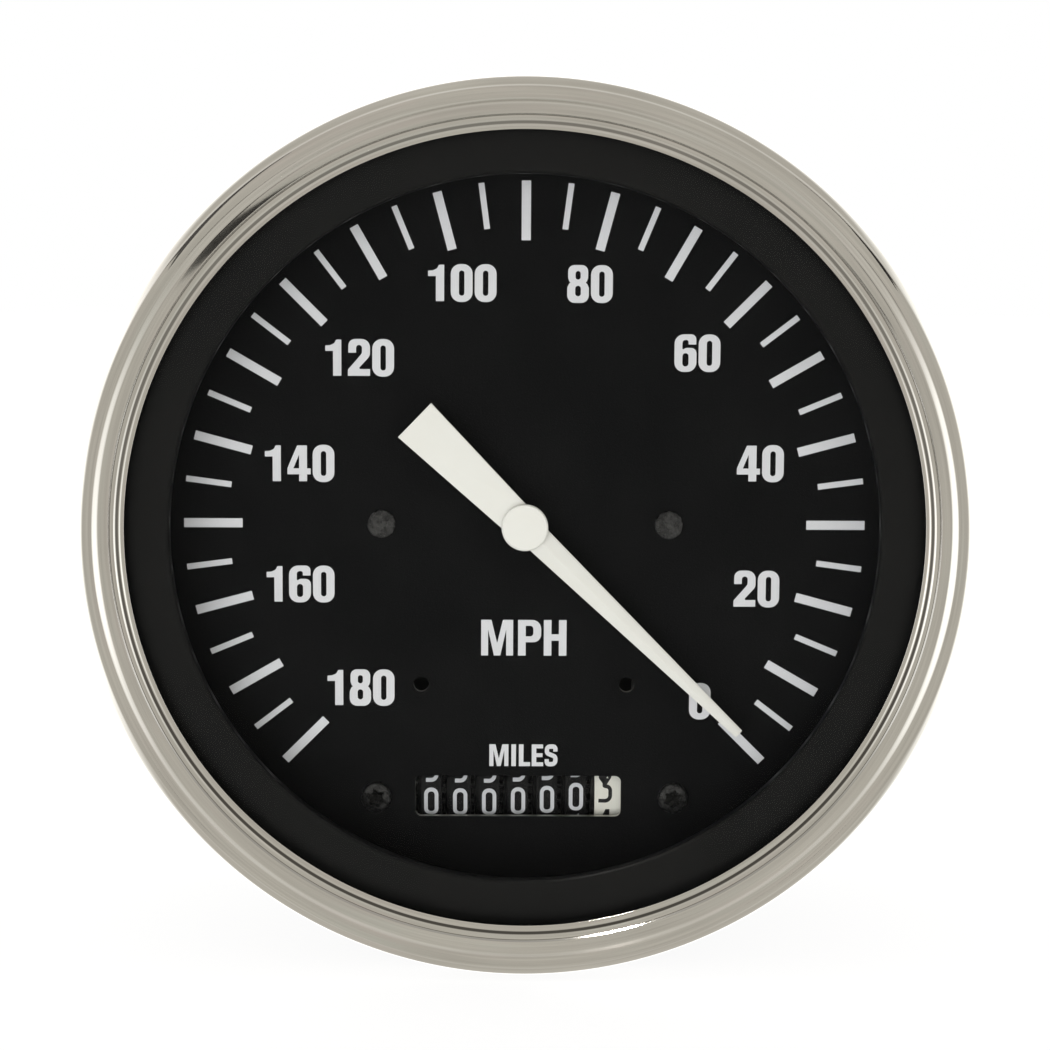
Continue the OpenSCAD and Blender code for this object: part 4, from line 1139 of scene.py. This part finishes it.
@dataclass(frozen=True)
class Glyph:
    """One letter or figure, in heights of the letter. A bar parts its lines, and a lone box is a ring."""

    width: float
    fill: str = ""
    strokes: str = ""
    after: float = 0.055

    def outlines(self, pen: float) -> list[list[list[Point]]]:
        """The closed shapes of the glyph, each an outline with its holes.

        Args:
            pen: width of its strokes.

        Returns:
            The outlines of each shape.
        """
        filled = [[rolled(corners_of(line)) for line in self.fill.split("|")]] if self.fill else []
        paths = self.strokes.split("|") if self.strokes else []
        return filled + [pen_line(corners_of(path), pen, len(path.split()) == 1) for path in paths]


class Alphabet(Enum):
    """The two letter styles on the instrument."""

    BOLD = "bold"
    COUNTER = "counter"


BOLD: dict[str, Glyph] = {
    "0": Glyph(0.58, "0,0,.58,1,.255 | .217,.165,.362,.83,.0725"),
    "1": Glyph(0.425, ".205,.02 .425,.02 .425,.98 .285,.98,.02 .245,.885,.1 .12,.83,.1 0,.825 0,.68 "
                      ".205,.68", after=0.175),
    "2": Glyph(0.593, "0,.02 .588,.02 .588,.2 .265,.2,.03 .432,.38,.1 .588,.55,.2 .588,1,.27 "
                      ".012,1,.27 .012,.635 .218,.635 .218,.84,.078 .375,.84,.078 .375,.62,.12 "
                      ".196,.41,.1 0,.185,.05"),
    "4": Glyph(0.62, ".312,.02 .523,.02 .523,.205 .62,.205 .62,.365 .523,.365 .523,.98 .262,.98 0,.37 "
                     "0,.205 .312,.205 | .158,.365 .312,.365 .312,.735"),
    "6": Glyph(0.588, "0,0,.25 .588,0,.25 .588,.64,.22 .295,.64,.09 .209,.575,.03 .209,.85,.08 "
                      ".373,.85,.08 .373,.73 .578,.73 .578,1,.25 0,1,.25 | .213,.145,.377,.5,.083"),
    "8": Glyph(0.575, "0,0,.25 .575,0,.25 .575,.4,.15 .53,.5,.05 .49,.535,.02 .525,.575,.05 "
                      ".553,.66,.15 .553,1,.23 .022,1,.23 .022,.66,.15 .05,.575,.05 .085,.535,.02 "
                      ".045,.5,.05 0,.4,.15 | .2125,.175,.3625,.452,.075 | .2195,.615,.3555,.841,.068"),
    "M": Glyph(0.9, "0,0 .195,0 .195,.73 .36,0 .54,0 .705,.73 .705,0 .9,0 .9,1 .612,1 .45,.345 .288,1 "
                    "0,1", after=0.14),
    "P": Glyph(0.65, "0,0 .215,0 .215,.375 .65,.375,.25 .65,1,.25 0,1 | .215,.54 .43,.54,.09 "
                     ".43,.835,.09 .215,.835", after=0.075),
    "H": Glyph(0.64, "0,0 .215,0 .215,.42 .425,.42 .425,0 .64,0 .64,1 .425,1 .425,.6 .215,.6 .215,1 "
                     "0,1"),
    "I": Glyph(0.215, "0,0,.215,1,0", after=0.14),
    "L": Glyph(0.53, "0,0 .53,0 .53,.185 .215,.185 .215,1 0,1", after=0.075),
    "E": Glyph(0.54, "0,0 .54,0 .54,.18 .215,.18 .215,.42 .51,.42 .51,.595 .215,.595 .215,.82 "
                     ".535,.82 .535,1 0,1", after=0.065),
    "S": Glyph(0.62, strokes=".51,.675 .51,.905,.19 .11,.905,.19 .11,.6,.14 .51,.44,.14 .51,.095,.19 "
                             ".105,.095,.19 .105,.325"),
}
COUNTER: dict[str, Glyph] = {
    "0": Glyph(0.525, strokes=".07,.07,.455,.93,.175"),
    "1": Glyph(0.525, strokes=".12,.76 .31,.93 .31,0"),
    "2": Glyph(0.525, strokes=".07,.7 .07,.93,.19 .455,.93,.19 .455,.6,.15 .08,.07,.02 .5,.07"),
    "3": Glyph(0.525, strokes=".04,.93 .44,.93,.01 .22,.6,.03 .455,.56,.17 .455,.07,.19 .03,.08"),
    "4": Glyph(0.525, strokes=".37,0 .37,.95 | .36,.93 .07,.27,.01 .53,.27"),
    "5": Glyph(0.525, strokes=".47,.93 .1,.93,.01 .08,.52,.04 .455,.6,.18 .455,.07,.19 .04,.08"),
    "6": Glyph(0.525, strokes=".07,.07,.455,.55,.17 | .07,.33 .07,.93,.2 .45,.93"),
    "7": Glyph(0.525, strokes=".03,.93 .46,.93,.01 .2,0"),
    "8": Glyph(0.525, strokes=".07,.07,.455,.51,.16 | .09,.51,.435,.93,.15"),
    "9": Glyph(0.525, strokes=".07,.45,.455,.93,.17 | .455,.67 .455,.07,.2 .07,.07"),
}


@dataclass
class Lettering:
    """Sets lines of letters as thin raised ink. Millimetres."""

    style: Alphabet
    pen: float = 0.2
    narrow: float = 1.0

    def set_line(self, draft: Draft, text: str, height: float, centre: Point, low: float, high: float) -> None:
        """Adds one line of letters to a draft.

        Args:
            draft: takes the shapes.
            text: the letters.
            height: height of a letter.
            centre: middle of the line.
            low: height of the ink's underside.
            high: height of its top.
        """
        glyphs = [(BOLD if self.style is Alphabet.BOLD else COUNTER)[c] for c in text]
        total = sum(g.width + g.after for g in glyphs) - glyphs[-1].after
        wide = height * self.narrow
        left = centre[0] - total * wide / 2
        base = centre[1] - height / 2
        for glyph in glyphs:
            for shape in glyph.outlines(self.pen):
                draft.prism([[(left + x * wide, base + y * height) for x, y in line] for line in shape], low, high)
            left += (glyph.width + glyph.after) * wide


@dataclass
class DialPrint:
    """The printed scale, numerals and words. The maker's line under the counter stays bare. Millimetres."""

    face: float = -8.2
    ink: float = 0.045
    sunk: float = 0.02
    first: float = -45.0
    major_step: float = 15.0
    major: tuple = (19, 40.3, 48.65, 1.3)  # count, inner and outer radius, width
    minor: tuple = (18, 42.2, 48.7, 0.83)
    numeral_height: float = 5.33
    numerals: tuple = (("100", -8.99, 34.25), ("80", 9.06, 34.2), ("60", 24.38, 24.51), ("40", 33.58, 8.82),
                       ("20", 33.31, -9.26), ("0", 25.4, -25.65), ("120", -23.52, 23.63), ("140", -32.11, 8.57),
                       ("160", -32.07, -8.79), ("180", -23.46, -23.83))
    words: tuple = (("MPH", 5.18, 0.985, -0.04, -16.47), ("MILES", 3.2, 0.958, 0.0, -33.68))

    def marks(self, name: str, count: int, inner: float, outer: float, width: float, start: float
              ) -> Piece:
        """One set of scale marks.

        Args:
            name: the piece's name.
            count: number of marks.
            inner: radius of their inner ends.
            outer: radius of their outer ends.
            width: width of a mark.
            start: angle of the first.

        Returns:
            The piece.
        """
        piece = linked(name, bpy.data.meshes.new(name))
        Rule.apply(piece, "dial_marks", Count=count, Inner=inner * MM, Outer=outer * MM, Width=width * MM,
                   Thickness=(self.ink + self.sunk) * MM, Depth=-(self.face + (self.ink - self.sunk) / 2) * MM,
                   Start=math.radians(start), Step=math.radians(self.major_step), Finish=DIAL_INK.material())
        return dress(piece, "housing", "pointer_white", DIAL_INK)

    def build(self) -> list[Piece]:
        """Makes the marks, numerals and words.

        Returns:
            The pieces.
        """
        low, high = self.face - self.sunk, self.face + self.ink
        letters = Lettering(Alphabet.BOLD)
        figures, words = Draft(), Draft()
        for text, x, y in self.numerals:
            letters.set_line(figures, text, self.numeral_height, (x, y), low, high)
        for text, height, narrow, x, y in self.words:
            Lettering(Alphabet.BOLD, narrow=narrow).set_line(words, text, height, (x, y), low, high)
        return [self.marks("major_marks", *self.major, self.first),
                self.marks("minor_marks", *self.minor, self.first + self.major_step / 2),
                dress(figures.make("dial_numerals"), "housing", "pointer_white", DIAL_INK),
                dress(words.make("dial_words"), "housing", "pointer_white", DIAL_INK)]


@dataclass
class FaceScrews:
    """The two flat screws of the movement and the two star screws of the counter. Millimetres."""

    face: float = -8.2
    sides: int = 72
    flat_radius: float = 1.975
    flat_height: float = 0.6
    flat_spread: float = 20.55
    star_radius: float = 2.15
    star_height: float = 1.6
    star_spread: float = 21.45
    star_level: float = -39.7
    flat_shank: float = 1.0
    star_shank: float = 1.25
    recess: float = 1.12
    lobe: float = 0.17
    recess_depth: float = 1.05
    lobes: int = 6
    flat_round: float = 0.16
    star_round: Point = (0.75, 0.62)
    flat_rings: tuple = ((0.62, 0.01), (0.56, 0.045), (0.48, 0.045), (0.42, 0.02), (0.0, 0.01))  # share out, depth
    star_well: tuple = ((0.96, 0.0), (0.5, 0.08), (0.0, 0.2))
    flat_nudge: Point = (0.07, -0.06)
    star_nudge: Point = (0.17, -0.09)

    def shank(self, node: str, radius: float) -> list[Point]:
        """The start of a screw's section: its shank, as deep as the CAD node's."""
        end = -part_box(node)[1].y / MM - self.face
        return [(0, end), (radius, end), (radius, 0)]

    def flat_head(self) -> Draft:
        """A low disc with a rolled edge and a faint ring from its forming tool.

        Returns:
            Its draft.
        """
        draft, r, h, e = Draft(), self.flat_radius, self.flat_height, self.flat_round
        draft.revolve(self.shank("movement_screws", self.flat_shank) + [(r, 0)]
                      + arc((r - e, h - e), e, e, 0, 90, 6)
                      + [(r * share, h - deep) for share, deep in self.flat_rings], self.sides)
        return draft

    def star_head(self) -> Draft:
        """A pan head with a six-lobed recess.

        Returns:
            Its draft.
        """
        draft, r, h, s = Draft(), self.star_radius, self.star_height, self.recess
        round_off, crown = self.star_round
        rolled_edge = arc((r - round_off, h - round_off), round_off, crown, 0, 82, 10)
        mouth = s + 0.1
        top = [(mouth, h - 0.06), (s, h - 0.16)]
        low = h - self.recess_depth
        well = [(s * share, low - deep) for share, deep in self.star_well]
        body = self.shank("counter_screws", self.star_shank) + [(r, 0)] + rolled_edge
        profile = body + top + well
        first, last = len(body), len(body) + len(top) + 1

        def swell(angle: float, i: int) -> float:
            """Pulls the recess's own points into six lobes."""
            return 1 + self.lobe * math.cos(self.lobes * angle) if first <= i < last else 1

        draft.revolve(profile, self.sides, swell)
        return draft

    def build(self) -> list[Piece]:
        """Makes both pairs.

        Returns:
            The pieces.
        """
        pieces = []
        for name, head, spread, level, turn, node, nudge in (
                ("movement_screw_heads", self.flat_head(), self.flat_spread, 0.0, 0.8, "movement_screws",
                 self.flat_nudge),
                ("star_screw_heads", self.star_head(), self.star_spread, self.star_level, 0.35, "counter_screws",
                 self.star_nudge)):
            piece = head.make(name, 30)
            piece.data.transform(Matrix.Translation((0, -self.face * MM, 0)))
            Rule.apply(piece, "paired", Spread=spread * MM, Height=level * MM, Turn=turn,
                       Finish=SLOT_FINISHES["dark_fasteners"].material())
            piece.data.transform(Matrix.Translation((nudge[0] * MM, 0, nudge[1] * MM)))
            pieces.append(dress(piece, "housing", "dark_fasteners", stands_for=(node,)))
        return pieces


@dataclass
class Pointer:
    """The white pointer and the disc over its hub. Millimetres."""

    cap_radius: float = 3.3
    cap_low: float = -4.1
    cap_top: float = -3.1
    cap_roll: float = 0.35
    cap_crown: float = 0.06
    edge_roll: float = 0.14

    def build(self) -> list[Piece]:
        """Makes the pointer and its cap.

        Returns:
            Both pieces.
        """
        cap, r = Draft(), self.cap_radius
        cap.revolve([(0, self.cap_low), (r, self.cap_low)]
                    + arc((r - self.cap_roll, self.cap_top - self.cap_roll), self.cap_roll,
                          self.cap_roll - self.cap_crown, 0, 90, 8)
                    + [(r * 0.5, self.cap_top - self.cap_crown * 0.3), (0, self.cap_top)], 96)
        return [dress(softened("pointer_blade", "pointer", self.edge_roll, 3), "pointer_unit", "pointer_white",
                      stands_for=("pointer",)),
                dress(cap.make("pointer_disc", 40), "pointer_unit", "pointer_white", stands_for=("pointer_cap",))]


@dataclass
class CounterPrint:
    """The ten figures printed round each number wheel. Millimetres and degrees."""

    radius: float = 8.0
    axis_depth: float = 17.55
    axis_level: float = -39.7
    middle: float = -0.75
    pitch: float = 4.21
    height: float = 4.22
    narrow: float = 0.95
    pen: float = 0.135
    ink: float = 0.02
    sunk: float = 0.03
    cut_every: float = 0.4
    below: tuple = (-5.7, 3.3, 6.5, 8.1, 9.4, 9.3, 8.7)
    front_figures: tuple = (3, 0, 0, 0, 0, 0, 0)

    def strip(self, name: str) -> Piece:
        """All ten figures on one flat strip, cut fine enough to bend.

        Args:
            name: the piece's name.

        Returns:
            The flat strip, with figure 0 at its middle and 1 below it.
        """
        draft, letters = Draft(), Lettering(Alphabet.COUNTER, self.pen, self.narrow)
        step = 2 * math.pi * self.radius / 10
        for figure in range(10):
            letters.set_line(draft, str(figure), self.height, (0, -figure * step), -self.sunk, self.ink)
        piece = draft.make(name)
        shape = bmesh.new()
        shape.from_mesh(piece.data)
        cuts = int((10 * step + self.height) / self.cut_every)
        for i in range(cuts):
            level = (self.height / 2 - (i + 0.5) * self.cut_every) * MM
            bmesh.ops.bisect_plane(shape, geom=shape.verts[:] + shape.edges[:] + shape.faces[:],
                                   plane_co=(0, 0, level), plane_no=(0, 0, 1))
        shape.to_mesh(piece.data)
        shape.free()
        return piece

    def build(self) -> list[Piece]:
        """Prints the seven wheels.

        Returns:
            One piece for each wheel.
        """
        pieces = []
        master = self.strip("figures")
        for k in range(1, 8):
            finish = DARK_INK if k == 1 else WHEEL_INK
            piece = shown(f"wheel_{k}_figures", master.data.copy())
            turn = self.front_figures[k - 1] * 36 - self.below[k - 1]
            Rule.apply(piece, "wrap", Radius=self.radius * MM, Turn=math.radians(turn),
                       Across=(self.middle + (4 - k) * self.pitch) * MM, Depth=self.axis_depth * MM,
                       Height=self.axis_level * MM, Finish=finish.material())
            slot = "wheel_black" if k == 1 else "wheel_white"
            pieces.append(dress(piece, f"wheel_{k}", slot, finish))
        bpy.data.objects.remove(master)
        return pieces


@dataclass
class RearHardware:
    """The threaded studs and the softened pieces behind the case. Millimetres."""

    stud_radius: float = 2.0
    core_radius: float = 1.72
    stud_spread: float = 30.0
    collar_radius: float = 3.2
    collar_front: float = 52.0
    collar_back: float = 53.2
    collar_roll: float = 0.2
    tip: float = 0.5
    thread_pitch: float = 0.7
    thread_gap: float = 0.4
    thread_short: float = 0.9
    softened_nodes: tuple = (("terminal_block", "housing", "parts_black", 0.35),
                             ("terminal_blades", "housing", "brass_yellow", 0.12),
                             ("bracket", "clamp", "frame_steel", 0.25),
                             ("bracket_nuts", "clamp", "bright_steel", 0.22),
                             ("bracket_washers", "clamp", "bright_steel", 0.12),
                             ("setting_button", "button", "button_red", 0.25))

    def studs(self) -> Piece:
        """Both studs, each a core in a collar with its thread cut on it.

        Returns:
            The piece.
        """
        low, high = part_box("mounting_studs")
        front, back = low.y / MM, high.y / MM
        core, roll = Draft(), self.collar_roll
        core.revolve([(0, -front), (self.stud_radius, -front), (self.stud_radius, -self.collar_front),
                      (self.collar_radius, -self.collar_front), (self.collar_radius, -self.collar_back + roll),
                      (self.collar_radius - roll, -self.collar_back), (self.core_radius, -self.collar_back),
                      (self.core_radius, -back + self.tip), (self.core_radius - self.tip, -back), (0, -back)], 48)
        piece = core.make("threaded_studs", 30)
        length = back - self.collar_back - self.thread_short
        finish = SLOT_FINISHES["bright_steel"].material()
        Rule.apply(piece, "thread", Turns=length / self.thread_pitch, Length=length * MM,
                   Radius=self.core_radius * MM, Ridge=(self.stud_radius - self.core_radius) * MM,
                   Start=(self.collar_back + self.thread_gap) * MM, Finish=finish)
        Rule.apply(piece, "paired", Spread=self.stud_spread * MM, Height=0.0, Turn=0.0, Finish=finish)
        return dress(piece, "housing", "bright_steel", stands_for=("mounting_studs",))

    def build(self) -> list[Piece]:
        """Makes the rear pieces.

        Returns:
            The pieces.
        """
        pieces = [self.studs()]
        for node, body, slot, width in self.softened_nodes:
            pieces.append(dress(softened(node + "_eased", node, width), body, slot, stands_for=(node,)))
        return pieces


@dataclass
class FrameFinishes:
    """Dresses every CAD node that stays in view in its slot's finish."""

    def build(self) -> list[Piece]:
        """Sets the finishes.

        Returns:
            The nodes that stay in view.
        """
        kept = []
        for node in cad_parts.values():
            slot = node.data.materials[0].name
            node.data.materials[0] = SLOT_FINISHES[slot].material()
            if not node.hide_render:
                kept.append(node)
        return kept


# ---------------------------------------------------------------- studio and camera


def direction(off_axis: float, clock: float) -> Vector:
    """Unit vector that far off the dial's axis, towards that angle on the dial's face."""
    a, b = math.radians(off_axis), math.radians(clock)
    return Vector((math.sin(a) * math.cos(b), -math.cos(a), math.sin(a) * math.sin(b)))


def spot(off_axis: float, clock: float, away: float) -> Vector:
    """The point that far from the dial's middle in that direction."""
    return direction(off_axis, clock) * away


def unseen(piece: Piece, *rays: str) -> None:
    """Marks a piece of the studio, and hides it from those kinds of rays.

    Args:
        piece: the piece.
        rays: kinds of rays that pass it by.
    """
    for ray in rays:
        setattr(piece, "visible_" + ray, False)


def glow(name: str, colour: Colour, strength: float) -> Material:
    """A plain glowing material for the studio's own surfaces.

    Args:
        name: its name.
        colour: its colour.
        strength: its brightness.

    Returns:
        The material.
    """
    made, w = new_material(name)
    light = w.give("ShaderNodeEmission", {"Color": (*colour, 1), "Strength": strength})
    w.node("ShaderNodeOutputMaterial", {"Surface": light})
    return made


@dataclass
class Studio:
    """Pale floor, a light tent with two soft boxes, and the dark gaps between them. Metres and watts."""

    tent: Colour = (0.66, 0.635, 0.585)
    rim: Colour = (0.93, 0.91, 0.87)
    box: Colour = (2.0, 1.99, 1.97)
    box_side: Point = (-0.50, -0.25)  # each pair is where a part of the tent begins and ends, on a ray of length 1
    box_foot: Point = (-0.66, -0.42)
    box_head: Point = (0.35, 0.60)
    box_taper: float = 0.48
    rim_near: Point = (-0.27, -0.20)
    rim_far: Point = (-0.10, 0.0)
    folds: Point = (0.94, 1.07)
    floor_level: float = -0.0625
    floor_size: float = 6.0
    key_place: Corner = (17, 210, 0.85)
    key_size: float = 0.8
    key_energy: float = 4.9
    glint_place: Corner = (76.7, 104.5, 0.1028)
    glint_aim: Corner = (84.3, 284.5, 0.0574)
    glint_size: float = 0.0135
    glint_energy: float = 0.0004
    glint_beam: float = 12
    key_tint: Colour = (0.98, 0.99, 1)
    glint_tint: Colour = (1, 0.97, 0.92)
    card_tint: Colour = (0.93, 0.9, 0.86)
    paper: Colour = (0.16, 0.16, 0.16)
    paper_lift: float = 0.9
    dial: Corner = (0, 0.008, 0)
    drop: float = 0.117
    gaps: tuple = (
        ("gap_right", 0.045, 61.0, -58.7, 80.0,
         ((46, 34), (46.5, 36), (48.5, 38), (52.5, 40), (56, 42.5), (64.5, 45), (65.5, 53.5), (68.5, 53.5), (70, 45),
          (70, 42), (70.5, 38), (68.5, 34), (58, 35.5))),
        ("gap_left", 0.11, 61.0, -58.7, 80.0,
         ((71.5, 121), (64.5, 126), (55, 132), (48, 136), (42, 140), (39, 143), (60, 140.5), (74.5, 143.5),
          (74.5, 140), (75.5, 132), (76.5, 126), (76.5, 121))),
        ("gap_low_right", 0.045, -57.5, 61.0, 33.0,
         ((52.7, 300), (53.7, 304), (53.7, 316), (52.7, 318), (48.5, 320), (43.8, 321.5), (42.8, 322.5), (40.8, 322),
          (40.8, 314), (43.2, 310), (45, 308), (47.7, 304), (50.7, 300))),
        ("gap_low_left", 0.16, -57.5, 61.0, 38.0,
         ((46, 211), (50.7, 211), (57.5, 214), (61.5, 222), (56.5, 224), (51.7, 221), (49.7, 217), (47.7, 214))),
    )

    def world(self) -> None:
        """White behind the object for the camera, and the tent with its soft boxes for all else."""
        made = bpy.data.worlds.new("studio")
        w = emptied(made)
        way = w.node("ShaderNodeTexCoord").outputs["Generated"]
        across, depth, up = w.apart(way)
        narrowed = w.times(w.math("ABSOLUTE", up), self.box_taper)
        start = w.minus(w.minus(depth, w.span(across, -0.2, 0.2, 0.0, 0.09)), narrowed)
        beside = w.span(start, *self.box_side, 0.0, 1.0)
        level = w.times(w.span(up, *self.box_foot, 0.0, 1.0), w.span(up, *self.box_head, 1.0, 0.0))
        folds = w.span(Effects.noise(w, way, 0.4, 1.0), 0.3, 0.7, 0.0, 1.0)
        cloth = w.blend(folds, *(tuple(share * c for c in self.tent) for share in self.folds))
        band = w.times(w.span(depth, *self.rim_near, 0.0, 1.0), w.span(depth, *self.rim_far, 1.0, 0.0))
        edge = w.times(band, w.span(up, -0.3, 0.5, 0.35, 1.0))
        tent = w.blend(w.times(beside, level), w.blend(edge, cloth, self.rim), self.box)
        lit = w.give("ShaderNodeBackground", {"Color": tent, "Strength": 1.0})
        seen = w.give("ShaderNodeBackground", {"Color": (1, 1, 1, 1), "Strength": 1.0})
        ray = w.node("ShaderNodeLightPath").outputs["Is Camera Ray"]
        mixed = w.give("ShaderNodeMixShader", {0: ray, 1: lit, 2: seen})
        w.node("ShaderNodeOutputWorld", {"Surface": mixed})
        bpy.context.scene.world = made

    def floor(self) -> None:
        """A pale floor that the metal does not show."""
        mesh = bpy.data.meshes.new("studio_floor")
        half = self.floor_size / 2
        mesh.from_pydata([(x * half, y * half, self.floor_level) for x, y in ((-1, -1), (1, -1), (1, 1), (-1, 1))],
                         [], [(0, 1, 2, 3)])
        made, w = new_material("pale_floor")
        paper = w.give("ShaderNodeBsdfDiffuse", {"Color": (*self.paper, 1)})
        lift = w.give("ShaderNodeEmission", {"Color": (1, 1, 1, 1), "Strength": self.paper_lift})
        both = w.give("ShaderNodeAddShader", {0: paper, 1: lift})
        w.node("ShaderNodeOutputMaterial", {"Surface": both})
        mesh.materials.append(made)
        ground = linked("studio_floor", mesh)
        unseen(ground, "glossy", "transmission", "shadow")

    def lamp(self, name: str, place: Vector, aim: Vector, size: float, energy: float, colour: Colour,
             glossy: bool, spread: float = 180) -> None:
        """One soft lamp.

        Args:
            name: its name.
            place: where it stands.
            aim: the point that it faces.
            size: its width.
            energy: its power.
            colour: its colour.
            glossy: whether shiny surfaces show it.
            spread: the angle of its beam in degrees.
        """
        light = bpy.data.lights.new(name, "AREA")
        light.shape, light.size = "DISK", size
        light.energy, light.color, light.spread = energy, colour, math.radians(spread)
        lamp = linked(name, light)
        lamp.location = place
        lamp.rotation_euler = (aim - place).to_track_quat("-Z", "Y").to_euler()
        lamp.visible_camera = False
        lamp.visible_glossy = lamp.visible_transmission = glossy

    def card(self, name: str, brightness: float, mirror: float, edge: float, lean: float,
             corners: tuple[Point, ...]) -> None:
        """A card that one side of the bezel mirrors, laid so that the other side sees it edge-on.

        Args:
            name: its name.
            brightness: how bright it is.
            mirror: radius in millimetres of the surface that mirrors it, negative across the dial.
            edge: the same for the surface that sees it edge-on.
            lean: its own slope off the axis in degrees.
            corners: angle off the axis and clock of each corner as mirrored.
        """
        fall = Vector((0, 0, self.drop))
        clock = sum(c for _, c in corners) / len(corners)
        outward = direction(90, clock)
        normal = outward.cross(Vector((0, 1, 0))).cross((direction(lean, clock) - fall).normalized())
        places = []
        for off_axis, around in corners:
            start, way = direction(90, around) * mirror * MM, direction(off_axis, around) - fall
            places.append(start + way * ((outward * edge * MM - start).dot(normal) / way.dot(normal)))
        mesh = bpy.data.meshes.new(name)
        mesh.from_pydata(places, [], [tuple(range(len(corners)))])
        mesh.materials.append(glow(name, self.card_tint, brightness))
        card = linked(name, mesh)
        unseen(card, "camera", "diffuse", "transmission", "shadow", "volume_scatter")

    def build(self) -> None:
        """Sets up the whole studio."""
        self.world()
        self.floor()
        self.lamp("key", spot(*self.key_place), Vector(self.dial), self.key_size, self.key_energy, self.key_tint,
                  False)
        self.lamp("small_lamp", spot(*self.glint_place), spot(*self.glint_aim), self.glint_size, self.glint_energy,
                  self.glint_tint, True, self.glint_beam)
        for card in self.gaps:
            self.card(*card)
        settings = bpy.context.scene.view_settings
        settings.view_transform, settings.look = "Standard", "None"
        settings.exposure, settings.gamma = 0.0, 1.0


@dataclass(frozen=True)
class Viewpoint:
    """The camera at the photograph's angle. Millimetres and radians, clip distances in metres."""

    distance: float = 345.0
    down: float = -0.11721
    swing: float = 0.0079
    roll: float = -0.0043
    lens: float = 82.67
    aim_depth: float = 8.2
    shift: Point = (0.00028, -0.0011)
    sensor: float = 36.0
    clip: Point = (0.01, 20.0)

    def build(self) -> None:
        """Places the camera and makes it the scene's own."""
        tilt = Matrix.Rotation(-self.down, 3, "X")
        pan = Matrix.Rotation(self.swing, 3, "Z")
        lean = Matrix.Rotation(self.roll, 3, "Y")
        turn = (lean.transposed() @ pan @ tilt).transposed()
        data = bpy.data.cameras.new("photo_camera")
        data.lens, data.sensor_width, data.sensor_fit = self.lens, self.sensor, "HORIZONTAL"
        data.shift_x, data.shift_y = self.shift
        data.clip_start, data.clip_end = self.clip
        data.dof.use_dof = False
        camera = linked("photo_camera", data)
        place = turn @ Vector((0, -self.distance, 0)) + Vector((0, self.aim_depth, 0))
        upright = turn @ Matrix.Rotation(math.pi / 2, 3, "X")
        camera.matrix_world = Matrix.Translation(place * MM) @ upright.to_4x4()
        bpy.context.scene.camera = camera


def write_sizes() -> None:
    bpy.context.view_layer.update()


def main() -> None:
    """Builds the camera, the pieces, the finishes and the studio in order."""
    logging.basicConfig(level=logging.INFO, format="%(name)s: %(message)s")
    Viewpoint().build()
    for assembly in (Bezel(), GlassAndRing(), DialPrint(), FaceScrews(), Pointer(), CounterPrint(),
                     RearHardware(), FrameFinishes()):
        for piece in assembly.build():
            LOG.info("%s: %s, %d faces", type(assembly).__name__, piece.name, len(piece.data.polygons))
    Studio().build()
    write_sizes()


if __name__ == "__main__":
    main()
